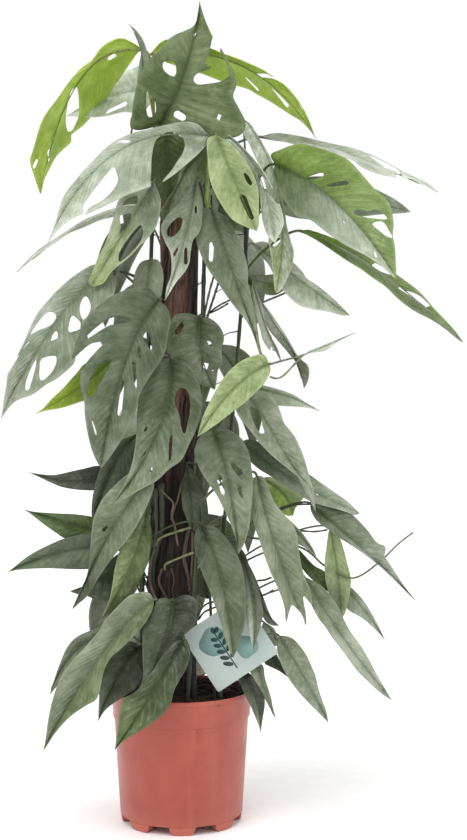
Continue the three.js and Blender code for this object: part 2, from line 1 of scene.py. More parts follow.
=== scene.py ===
"""Dresses a silver-leaved climbing aroid on a bark pole: leaves with veins, holes and lobes, fibrous bark,
crumbly soil, a moulded nursery pot and a square tag. Metres, +Z up, seen from -Y."""

import math
import random
import re

import bmesh
import bpy
from bpy.props import FloatProperty, FloatVectorProperty, IntProperty, PointerProperty
from mathutils import Matrix, Vector, noise


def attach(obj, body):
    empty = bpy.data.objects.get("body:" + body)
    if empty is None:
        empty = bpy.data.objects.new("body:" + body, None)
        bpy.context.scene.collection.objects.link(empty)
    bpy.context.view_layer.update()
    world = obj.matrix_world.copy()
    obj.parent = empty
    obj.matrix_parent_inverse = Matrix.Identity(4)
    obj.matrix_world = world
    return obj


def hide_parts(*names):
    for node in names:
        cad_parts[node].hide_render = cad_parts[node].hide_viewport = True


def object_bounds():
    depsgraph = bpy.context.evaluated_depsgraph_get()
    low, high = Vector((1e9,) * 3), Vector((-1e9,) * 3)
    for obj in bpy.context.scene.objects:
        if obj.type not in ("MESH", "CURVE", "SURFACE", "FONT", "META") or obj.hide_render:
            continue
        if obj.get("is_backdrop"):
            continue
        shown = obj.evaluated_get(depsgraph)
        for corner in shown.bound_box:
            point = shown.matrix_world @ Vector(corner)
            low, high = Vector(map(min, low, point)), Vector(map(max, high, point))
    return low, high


bl_info = {
    "name": "Potted climbing aroid",
    "version": (1, 0, 0),
    "blender": (4, 5, 0),
    "location": "3D View > Sidebar > Aroid",
    "description": "Leafy stems on a bark pole in a nursery pot, with soil and a tag",
    "category": "Add Mesh",
}

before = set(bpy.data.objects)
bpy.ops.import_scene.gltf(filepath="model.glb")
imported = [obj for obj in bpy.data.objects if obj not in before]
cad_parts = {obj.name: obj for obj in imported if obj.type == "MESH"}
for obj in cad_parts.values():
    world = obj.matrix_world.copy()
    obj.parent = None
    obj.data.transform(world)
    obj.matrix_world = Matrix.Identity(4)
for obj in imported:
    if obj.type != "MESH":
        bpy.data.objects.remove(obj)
CAD_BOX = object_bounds()
MM = 0.001

# The photograph's viewpoint. Leaf places are measured from the front as seen from here, in millimetres on the
# upright plane through the pot's axis, and set back along the sight line to each leaf's own depth.
EYE = Vector((0.0624, -1.6, 0.478))
LENS = 57.1
FRONT = Vector((0, -1, 0))
UP = Vector((0, 0, 1))

# The pot's feet: their height with what goes into the floor, their width, and the angle of the first
FOOT_TOP = 10.4
FOOT_WIDTH = math.radians(25)
FIRST_FOOT = math.radians(-87)

# How a blade is built up, as in the solid model: the angle its halves fold up, the size and number of waves
# along its edges, how far the halves lean to the tip, where it is broadest, and how it narrows to both ends
FOLD = math.radians(12)
WAVE = 0.012
WAVES = 17
SLANT = 0.34
BROADEST = 0.34
TAPER = 1.05
POINT = 0.9

# What the visual blade has beyond that: its thickness, the distance and lean of its side veins, the swell of
# each half, the width of a hole in a back leaf, and how much sooner than the midrib a read edge runs
BLADE_THICK = 0.5 * MM
VEIN_GAP = 8.5 * MM
VEIN_SLANT = 0.45
BULGE = 0.1
WINDOW = 0.052
EDGE_LEAD = 1.2


def at_depth(spot, depth):
    """The point that shows at a spot of the plane through the pot's axis, set back to a depth, in metres."""
    scale = (depth - EYE.y) / -EYE.y
    return Vector((mix(EYE.x, spot.x, scale), depth, mix(EYE.z, spot.y, scale)))


def seen(x, z, depth):
    """The point that shows at (x, z) millimetres from the front, set back to a depth in millimetres."""
    return at_depth(Vector((x, z)) * MM, depth * MM)


def seen_from(point):
    """Where a point shows from the front, in metres on the plane through the pot's axis."""
    scale = -EYE.y / (point.y - EYE.y)
    return Vector((mix(EYE.x, point.x, scale), mix(EYE.z, point.z, scale)))


def mix(a, b, share):
    return a + (b - a) * share


def clamp(value, low=0.0, high=1.0):
    return max(low, min(high, value))


def smooth(low, high, value):
    share = clamp((value - low) / (high - low))
    return share * share * (3 - 2 * share)


def scatter(n, seed):
    """A number from 0 to 1 that jumps about evenly as n counts up."""
    return (n * 0.6180339887 + seed * 0.7548776662) % 1


def linear(red, green, blue):
    """A screen colour, 0 to 255, as the linear numbers that shaders use."""
    parts = [value / 255 for value in (red, green, blue)]
    return tuple(v / 12.92 if v < 0.04 else ((v + 0.055) / 1.055) ** 2.4 for v in parts)


def colour(name, description, red, green, blue):
    return FloatVectorProperty(
        name=name, description=description, subtype="COLOR", size=3, min=0, max=1,
        default=linear(red, green, blue),
    )


def length_of(name, description, millimetres):
    return FloatProperty(
        name=name, description=description, default=millimetres * MM, unit="LENGTH", precision=4
    )


# Settings that a user would change


class PotSettings(bpy.types.PropertyGroup):
    rim: length_of("Rim radius", "Outside of the lip", 85)
    height: length_of("Height", "From the floor to the rim", 156)
    base: length_of("Base radius", "Outside of the wall above the feet", 73)
    feet: IntProperty(name="Feet", description="Blocks round the underside", default=8, min=3)
    sides: IntProperty(name="Sides", description="Faces round the wall", default=160, min=32)
    plastic: colour("Plastic", "Terracotta-coloured plastic", 166, 79, 64)
    shade: colour("Shade", "Darker plastic", 150, 68, 54)


class SoilSettings(bpy.types.PropertyGroup):
    top: length_of("Top", "Height of the soil in the middle", 152)
    edge: length_of("Edge", "Height of the soil at the wall", 149)
    chips: IntProperty(name="Chips", description="Loose bits of bark on the top", default=900, min=0)
    dark: colour("Peat", "Damp peat", 22, 16, 12)
    light: colour("Bark chips", "Dry bark chips", 74, 50, 38)


class PoleSettings(bpy.types.PropertyGroup):
    foot: length_of("Foot", "Height of the lower end", 62)
    top: length_of("Top", "Height of the upper end", 792)
    radius: length_of("Radius", "Radius at the soil", 27)
    head: length_of("Head radius", "Radius at the top", 23)
    fibres: IntProperty(name="Fibres", description="Loose strands wound round the bark", default=34, min=0)
    # The groove colour is painted shade in the grooves and down the pole's shaded right side; it also tints
    # random dark fibres and patches
    groove: colour("Groove", "Bark in the grooves", 20, 13, 11)
    strand: colour("Strand", "Dry bark on the upper strands", 128, 96, 82)
    # The lower bark colour: the strands are darker lower down the pole
    lower_bark: colour("Damp", "Damp bark towards the soil", 48, 40, 31)


class LeafSettings(bpy.types.PropertyGroup):
    cell: length_of("Cell", "Mesh size over a blade with holes", 2.1)
    coarse_cell: length_of("Coarse cell", "Mesh size over a whole blade", 3.0)
    quilting: length_of("Quilting", "Height of the blade between its side veins", 0.3)
    groove: length_of("Groove", "Depth of the channel over the midrib", 0.8)
    silver: colour("Silver", "Brightest silvery leaves", 186, 195, 176)
    grey: colour("Grey", "Pale grey leaves", 150, 159, 140)
    mist: colour("Mist", "Grey-green leaves", 122, 132, 108)
    slate: colour("Slate", "Darker grey-green leaves", 96, 107, 85)
    dark: colour("Dark", "Dark leaves", 72, 83, 60)
    deep: colour("Deep", "Leaves in the shade", 50, 60, 40)
    night: colour("Night", "Nearly black leaves", 34, 40, 26)
    # Night, like deep, is painted shade: leaves far inside the plant, out of the light
    moss: colour("Moss", "Soft mid green leaves", 92, 107, 68)
    forest: colour("Forest", "Deep green leaves", 66, 84, 40)
    green: colour("Green", "Saturated green leaves", 112, 138, 54)
    pale: colour("Pale", "Pale young leaves", 154, 169, 122)
    lush: colour("Lush", "Fresh pale green leaves", 150, 176, 96)
    lime: colour("Lime", "Fresh leaves with light behind them", 182, 200, 90)
    stalk: colour("Stalk", "Stalks and stems", 56, 68, 36)
    curl: colour("Curl", "Young pale stalks", 128, 138, 92)
    olive: colour("Olive", "Darker thin stalks", 78, 84, 58)
    moss_dark: colour("Mossy stem", "Old stem with moss on it", 52, 60, 42)
    root: colour("Root", "Dry tan roots", 116, 92, 76)
    root_grey: colour("Grey root", "Weathered roots", 88, 86, 70)
    root_dark: colour("Dark root", "Damp red-brown roots", 82, 58, 48)
    # Black is painted shade: thin stems and roots in shadow between the leaves, and the stems' lower ends
    black: colour("Black root", "Nearly black roots", 26, 26, 22)


class TagSettings(bpy.types.PropertyGroup):
    width: length_of("Width", "Width of the card", 79)
    height: length_of("Height", "Height of the card", 84)
    turn: FloatProperty(
        name="Turn", description="How far it leans", default=math.radians(33.3), subtype="ANGLE"
    )
    card: colour("Card", "Pale mint card", 168, 180, 175)
    wash: colour("Wash", "Teal wash on the card", 118, 152, 148)
    ink: colour("Ink", "Dark green ink", 26, 58, 56)
    stake: colour("Stake", "Dark plastic stake", 30, 28, 24)


class StageSettings(bpy.types.PropertyGroup):
    floor: colour("Floor", "Pale floor", 251, 251, 251)
    reach: FloatProperty(name="Reach", description="Radius of the floor", default=14, unit="LENGTH")


SETTINGS = {
    "aroid_pot": PotSettings,
    "aroid_soil": SoilSettings,
    "aroid_pole": PoleSettings,
    "aroid_leaf": LeafSettings,
    "aroid_tag": TagSettings,
    "aroid_stage": StageSettings,
}


# Shader nodes written as arithmetic


class Value:
    """A shader socket that takes part in arithmetic: each operator adds its Math node."""

    def __init__(self, shading, socket):
        self.shading = shading
        self.socket = socket

    def maths(self, operation, *values):
        inputs = dict(enumerate(values))
        return self.shading.node("ShaderNodeMath", {"operation": operation}, inputs)

    def __add__(self, other):
        return self.maths("ADD", self, other)

    __radd__ = __add__

    def __sub__(self, other):
        return self.maths("SUBTRACT", self, other)

    def __rsub__(self, other):
        return self.maths("SUBTRACT", other, self)

    def __mul__(self, other):
        return self.maths("MULTIPLY", self, other)

    __rmul__ = __mul__

    def __abs__(self):
        return self.maths("ABSOLUTE", self)

    def ramp(self, low, high, start=0.0, end=1.0):
        """start below low, end above high, and a smooth step between."""
        inputs = {"Value": self, "From Min": low, "From Max": high, "To Min": start, "To Max": end}
        settings = {"interpolation_type": "SMOOTHSTEP"}
        return self.shading.node("ShaderNodeMapRange", settings, inputs)


class Shading:
    """A node tree that nodes are added to."""

    def __init__(self, tree):
        self.tree = tree

    def join(self, value, slot):
        if isinstance(value, Value):
            self.tree.links.new(value.socket, slot)
        elif isinstance(value, tuple) and len(value) == 3 and slot.type == "RGBA":
            slot.default_value = (*value, 1)
        else:
            slot.default_value = value

    def node(self, kind, settings=None, inputs=None, output=0):
        made = self.tree.nodes.new(kind)
        for name, value in (settings or {}).items():
            setattr(made, name, value)
        for name, value in (inputs or {}).items():
            self.join(value, made.inputs[name])
        return Value(self, made.outputs[output])


class Finish(Shading):
    """A new material with a Principled shader, and the nodes that feed it."""

    def __init__(self, name, roughness=0.5, specular=0.5, **sockets):
        self.material = bpy.data.materials.new(name)
        self.material.use_nodes = True
        super().__init__(self.material.node_tree)
        self.shader = self.tree.nodes["Principled BSDF"]
        self.output = self.tree.nodes["Material Output"]
        self.set("Roughness", roughness)
        self.set("Specular IOR Level", specular)
        for socket, value in sockets.items():
            self.set(socket.replace("_", " "), value)

    def set(self, socket, value):
        self.join(value, self.shader.inputs[socket])

    def blend(self, share, first, second, mode="MIX"):
        """Two colours mixed by share."""
        settings = {"data_type": "RGBA", "blend_type": mode}
        return self.node("ShaderNodeMix", settings, {0: share, 6: first, 7: second}, 2)

    def attribute(self, name, output="Fac"):
        return self.node("ShaderNodeAttribute", {"attribute_name": name}, output=output)

    def coordinates(self, scale=(1, 1, 1)):
        """The object's own coordinates, in metres, stretched by scale."""
        place = self.node("ShaderNodeTexCoord", output="Object")
        return self.node("ShaderNodeMapping", inputs={"Vector": place, "Scale": scale})

    def noise(self, scale, detail=3.0, roughness=0.55, stretch=(1, 1, 1)):
        inputs = {"Scale": scale, "Detail": detail, "Roughness": roughness}
        inputs["Vector"] = self.coordinates(stretch)
        return self.node("ShaderNodeTexNoise", inputs=inputs)

    def bump(self, height, distance, strength=1.0):
        inputs = {"Height": height, "Distance": distance, "Strength": strength}
        self.set("Normal", self.node("ShaderNodeBump", inputs=inputs))


# Mesh helpers


def wrap_grid(bm, columns, rows, place, closed=False):
    """A grid whose points go where place(s, t) says, for s and t from 0 to 1. A closed one joins round."""
    made = bmesh.ops.create_grid(bm, x_segments=columns, y_segments=rows, size=0.5)
    verts = made["verts"]
    for vert in verts:
        vert.co = place(vert.co.x + 0.5, vert.co.y + 0.5)
    if closed:
        faces = {face for vert in verts for face in vert.link_faces}
        bmesh.ops.remove_doubles(bm, verts=verts, dist=1e-7)
        verts = list({vert for face in faces if face.is_valid for vert in face.verts})
    return verts


def faces_of(verts):
    return list({face for vert in verts for face in vert.link_faces})


class Tube:
    """A round tube along a curve, closed at both ends. Its radius is a function of the way along."""

    def __init__(self, curve, radius, steps, sides=8):
        self.steps = steps
        self.sides = sides
        self.rings = []
        across = None
        for step in range(steps + 1):
            t = step / steps
            centre = curve(t)
            ahead = (curve(min(t + 0.01, 1)) - curve(max(t - 0.01, 0))).normalized()
            across = ahead.orthogonal() if across is None else across - ahead * across.dot(ahead)
            across.normalize()
            self.rings.append((centre, across.copy(), ahead.cross(across), radius(t)))

    def place(self, s, t):
        """A point of the wall. The first and last rows draw in to the axis."""
        row = round(t * (self.steps + 2))
        centre, across, up, radius = self.rings[int(clamp(row - 1, 0, self.steps))]
        if row in (0, self.steps + 2):
            return centre.copy()
        angle = 2 * math.pi * s
        return centre + (across * math.cos(angle) + up * math.sin(angle)) * radius

    def add(self, bm):
        verts = wrap_grid(bm, self.sides, self.steps + 2, self.place, closed=True)
        bmesh.ops.recalc_face_normals(bm, faces=faces_of(verts))
        return verts


def bent(points, t):
    """A share of the way along the second of three spans, on the smooth curve through their four points."""
    a, b, c, d = points
    bend = (a * -1 + b * 3 - c * 3 + d) * t**3 + (a * 2 - b * 5 + c * 4 - d) * t**2
    return (bend + (c - a) * t + b * 2) * 0.5


def through(points):
    """A smooth curve through points, for a share of the way from 0 to 1."""
    ends = [points[0] * 2 - points[1], *points, points[-1] * 2 - points[-2]]
    spans = [(b - a).length for a, b in zip(points, points[1:])]
    total = sum(spans)

    def curve(share):
        left = clamp(share) * total
        for i, span in enumerate(spans):
            if left <= span or i == len(spans) - 1:
                return bent(ends[i : i + 4], clamp(left / span))
            left -= span

    return curve


def finish_piece(name, bm, materials, node=None, crease=None):
    """The mesh as an object at the origin that rides on the root and stands for its CAD node."""
    mesh = bpy.data.meshes.new(name)
    bm.to_mesh(mesh)
    bm.free()
    for face in mesh.polygons:
        face.use_smooth = True
    piece = bpy.data.objects.new(name, mesh)
    bpy.context.scene.collection.objects.link(piece)
    for finish in materials:
        mesh.materials.append(finish.material)
    if crease is not None:
        mesh.set_sharp_from_angle(angle=crease)
    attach(piece, "root")
    if node:
        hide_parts(node)
    return piece


# Stems: each climbs beside the pole, at an angle round it (0 is +X, 270 the front) and a reach from its axis,
# in degrees and millimetres
STEMS = {
    "left": {"angle": 216, "sweep": -34, "root": 42, "head": 32, "bend": 0.7, "top": 846, "radius": 3.2},
    "right": {"angle": 312, "sweep": 30, "root": 42, "head": 32, "bend": 0.7, "top": 824, "radius": 3.2},
    "outer": {"angle": 350, "sweep": 4, "root": 52, "head": 84, "bend": 1, "top": 752, "radius": 2.8},
    "low_left": {"angle": 232, "sweep": -12, "root": 54, "head": 44, "bend": 1, "top": 468, "radius": 2.6},
    "low_right": {"angle": 292, "sweep": 24, "root": 56, "head": 50, "bend": 1, "top": 452, "radius": 2.6},
    "skirt_left": {"angle": 254, "sweep": -14, "root": 58, "head": 52, "bend": 1, "top": 262, "radius": 2.2},
    "skirt_right": {"angle": 322, "sweep": -6, "root": 66, "head": 62, "bend": 1, "top": 330, "radius": 2.2},
    "back_left": {"angle": 124, "sweep": 8, "root": 42, "head": 32, "bend": 0.7, "top": 800, "radius": 3.2},
    "back_right": {"angle": 56, "sweep": -4, "root": 42, "head": 32, "bend": 0.7, "top": 772, "radius": 3.2},
    "back": {"angle": 90, "sweep": 0, "root": 46, "head": 34, "bend": 0.7, "top": 640, "radius": 2.8},
}
SOIL_TOP = 151
STEM_FOOT = 120
JOINT_GAP = 58
POLE_TOP = 792
POLE_LEAN = 12
POLE_LEAN_FROM = 300


def pole_x(height):
    """How far the pole's axis leans over at a height, both in millimetres."""
    return -POLE_LEAN * (1 - clamp((height - POLE_LEAN_FROM) / (POLE_TOP - POLE_LEAN_FROM)))


def stem_point(stem, height):
    rise = clamp((height - SOIL_TOP) / (stem["top"] - SOIL_TOP))
    angle = math.radians(stem["angle"] + stem["sweep"] * rise)
    reach = mix(stem["root"], stem["head"], rise ** stem["bend"])
    return Vector((pole_x(height) + reach * math.cos(angle), reach * math.sin(angle), height)) * MM


# The leaves that show from the front, from the crown down: name, stem, base, middle and tip as seen, the
# depths of these three, full width, roll, and tone at the base and at the tip
LEAVES = [
    ("arch_left", "left", (-45, 922), (-122, 888), (-170, 750), (-6, -14, -6), 95, 120, "lime", "lime"),
    ("crown", "left", (-25, 832), (5, 900), (22, 980), (-26, -34, -20), 104, 0, "forest", "moss"),
    ("arch_right", "left", (-38, 917), (75, 903), (162, 816), (12, 4, -14), 80, -125, "lime", "lime"),
    ("big_left", "right", (33, 818), (-78, 800), (-161, 690), (-50, -62, -50), 108, 30, "grey", "silver"),
    ("rolled", "left", (-60, 825), (-46, 900), (-63, 953), (-26, -32, -30), 26, 20, "mist", "slate"),
    ("ghost", "left", (-20, 880), (-80, 868), (-138, 843), (40, 48, 50), 46, 20, "silver", "silver"),
    ("edge_on", "left", (-45, 734), (-115, 716), (-198, 656), (-8, -8, 0), 60, 70, "silver", "silver"),
    ("pale_left", "left", (-33, 765), (-63, 715), (-108, 638), (-50, -60, -60), 64, 10, "grey", "pale"),
    ("behind_big", "left", (-16, 826), (-16, 782), (-10, 728), (-27, -29, -28), 60, 0, "forest", "moss"),
    ("shade_centre", "right", (33, 815), (2, 772), (-22, 718), (-34, -38, -34), 56, 0, "moss", "mist"),
    ("pale_front", "right", (42, 820), (62, 770), (90, 705), (-58, -70, -66), 65, 0, "pale", "pale"),
    ("pale_strip", "right", (50, 822), (92, 775), (112, 690), (-46, -58, -58), 40, -20, "silver", "silver"),
    ("twisted", "outer", (78, 836), (118, 745), (114, 630), (-24, -32, -32), 46, -25, "silver", "pale"),
    ("big_right", "outer", (112, 785), (185, 740), (258, 648), (-54, -70, -62), 106, -10, "forest", "silver"),
    ("long_right", "outer", (143, 705), (235, 660), (338, 572), (-12, -16, -8), 78, -62, "green", "moss"),
    ("top_right", "right", (95, 818), (200, 797), (308, 752), (4, 6, 10), 66, -62, "grey", "silver"),
    ("behind_right", "outer", (110, 735), (190, 742), (275, 728), (26, 30, 30), 60, -20, "mist", "grey"),
    ("pale_right", "outer", (85, 690), (145, 645), (202, 604), (8, 4, 6), 58, -20, "silver", "silver"),
    ("dark_across", "outer", (125, 635), (104, 642), (78, 648), (-8, -10, -8), 24, 0, "moss", "mist"),
    ("behind_pale", "right", (70, 790), (80, 752), (90, 712), (-28, -34, -30), 34, 0, "deep", "forest"),
    ("centre", "right", (18, 768), (5, 700), (-20, 622), (-50, -62, -58), 55, 0, "slate", "silver"),
    ("right_centre", "right", (36, 730), (60, 660), (92, 565), (-40, -50, -44), 62, -10, "slate", "mist"),
    ("far_left", "left", (-88, 658), (-150, 598), (-217, 481), (-34, -50, -46), 100, 22, "grey", "grey"),
    ("mid_left", "left", (-27, 622), (-68, 545), (-97, 420), (-74, -92, -86), 112, 5, "dark", "slate"),
    ("oval", "left", (-37, 671), (-42, 635), (-45, 590), (-40, -46, -44), 40, 10, "mist", "mist"),
    ("lit_left", "left", (-82, 552), (-125, 516), (-175, 486), (-6, -14, -8), 38, 40, "green", "lime"),
    ("middle", "right", (22, 602), (24, 556), (40, 514), (-46, -54, -48), 66, 0, "dark", "mist"),
    ("grey_front", "left", (-14, 552), (-26, 470), (-83, 376), (-70, -84, -78), 82, 0, "dark", "mist"),
    ("lit_front", "outer", (105, 545), (62, 515), (19, 458), (-90, -102, -96), 56, 0, "pale", "pale"),
    ("young", "outer", (146, 556), (175, 568), (209, 583), (-30, -30, -30), 14, 0, "silver", "silver"),
    ("narrow", "outer", (85, 645), (98, 600), (120, 547), (-22, -26, -26), 34, -10, "grey", "grey"),
    ("hooked", "outer", (95, 620), (128, 572), (147, 516), (-12, -16, -14), 32, -30, "grey", "mist"),
    ("grey_right", "outer", (85, 515), (128, 506), (165, 489), (-26, -36, -32), 36, -20, "grey", "silver"),
    ("pale_low", "low_right", (80, 508), (116, 452), (161, 368), (-62, -80, -74), 56, -5, "mist", "grey"),
    ("dark_low", "low_left", (-52, 462), (-82, 420), (-107, 350), (-42, -48, -42), 56, 15, "dark", "deep"),
    ("low_a", "low_left", (-88, 410), (-135, 405), (-183, 415), (-20, -26, -22), 32, 20, "night", "dark"),
    ("low_b", "low_left", (-80, 338), (-130, 352), (-188, 370), (-22, -28, -24), 46, 20, "forest", "forest"),
    ("low_c", "low_left", (-85, 325), (-140, 320), (-208, 296), (-40, -46, -42), 46, 15, "deep", "slate"),
    ("long_grey", "low_left", (-38, 412), (-86, 342), (-131, 251), (-62, -74, -68), 56, 5, "mist", "dark"),
    ("half_lit", "low_left", (-42, 372), (-60, 305), (-95, 241), (-52, -60, -58), 38, -25, "moss", "pale"),
    ("low_d", "low_left", (-70, 296), (-100, 285), (-134, 272), (-34, -38, -34), 50, 0, "dark", "dark"),
    ("long_skirt", "skirt_left", (-33, 262), (-94, 200), (-166, 81), (-78, -92, -84), 58, 12, "mist", "mist"),
    (
        "green_skirt", "skirt_left", (-76, 224), (-125, 202), (-158, 149), (-50, -60, -56), 50, 25,
        "slate", "slate",
    ),
    (
        "black_skirt", "skirt_left", (-50, 206), (-76, 172), (-100, 117), (-54, -68, -64), 58, 10,
        "deep", "slate",
    ),
    ("wide_skirt", "skirt_left", (-10, 260), (-22, 205), (-52, 142), (-64, -80, -80), 66, 0, "dark", "slate"),
    ("teal_skirt", "skirt_left", (2, 214), (-30, 158), (-80, 82), (-96, -108, -102), 64, -10, "deep", "moss"),
    ("under_front", "low_right", (38, 466), (57, 400), (68, 317), (-76, -90, -84), 60, 5, "dark", "mist"),
    ("long_dark", "low_right", (70, 452), (140, 403), (214, 366), (-44, -54, -48), 36, -25, "dark", "grey"),
    ("lobed_right", "outer", (155, 378), (215, 325), (280, 262), (-40, -54, -46), 44, -12, "slate", "grey"),
    ("curled", "outer", (96, 408), (122, 390), (134, 363), (-12, -16, -14), 44, 10, "lush", "lush"),
    ("hanging", "outer", (178, 348), (188, 295), (193, 240), (-26, -34, -30), 34, -20, "pale", "slate"),
    ("tip_right", "outer", (190, 282), (216, 254), (244, 214), (-14, -22, -16), 30, -15, "grey", "grey"),
    ("silver_low", "low_right", (90, 412), (112, 330), (149, 232), (-68, -78, -74), 64, -5, "mist", "mist"),
    ("dark_slip", "low_right", (100, 374), (132, 350), (162, 314), (-58, -66, -62), 30, -10, "mist", "mist"),
    ("deep_slip", "outer", (138, 322), (156, 298), (178, 270), (-38, -42, -38), 24, -10, "forest", "forest"),
    ("long_low", "skirt_right", (148, 290), (194, 217), (252, 142), (-52, -64, -58), 42, -20, "mist", "grey"),
    ("pole_slip", "low_right", (6, 425), (11, 385), (14, 345), (-34, -38, -36), 28, 0, "deep", "dark"),
    ("tag_left", "low_left", (25, 352), (48, 285), (62, 193), (-66, -80, -76), 58, 0, "deep", "mist"),
    ("tag_right", "low_right", (68, 328), (84, 265), (86, 200), (-60, -72, -72), 30, 0, "night", "silver"),
    ("tag_back", "skirt_right", (72, 312), (92, 262), (117, 231), (-28, -34, -32), 32, -10, "night", "slate"),
    ("pole_green", "low_right", (27, 302), (28, 284), (31, 263), (-26, -28, -26), 24, 0, "forest", "deep"),
    ("olive", "skirt_right", (117, 219), (148, 168), (176, 115), (-40, -46, -40), 42, -15, "mist", "grey"),
    ("pale_edge", "skirt_right", (75, 176), (90, 140), (95, 103), (-44, -58, -60), 24, -10, "night", "mist"),
    ("ribbed", "skirt_right", (90, 188), (101, 152), (113, 120), (-40, -50, -48), 20, -20, "mist", "mist"),
    ("slip_a", "skirt_right", (98, 236), (107, 226), (116, 208), (-22, -24, -22), 22, 0, "grey", "grey"),
    ("slip_b", "skirt_right", (108, 200), (118, 184), (128, 169), (-34, -36, -34), 24, 0, "deep", "dark"),
]

# The tone of the half on the right, where the two halves of a leaf catch the light differently
RIGHT_HALVES = {
    "crown": "moss",
    "pale_front": "pale",
    "big_right": "green",
    "long_right": "green",
    "twisted": "silver",
    "far_left": "mist",
    "lit_front": "pale",
    "half_lit": "forest",
    "long_skirt": "moss",
    "black_skirt": "deep",
    "wide_skirt": "night",
    "tag_left": "dark",
    "tag_right": "dark",
    "hanging": "pale",
    "pale_edge": "night",
    "pale_right": "silver",
    "curled": "pale",
}

# How strongly pale streaks show on the leaves that have more of them than others
STREAKED = {
    "teal_skirt": 0.9,
    "half_lit": 0.8,
    "lit_front": 0.7,
    "pale_strip": 0.9,
    "twisted": 0.9,
    "wide_skirt": 0.5,
    "green_skirt": 0.7,
    "far_left": 0.5,
}

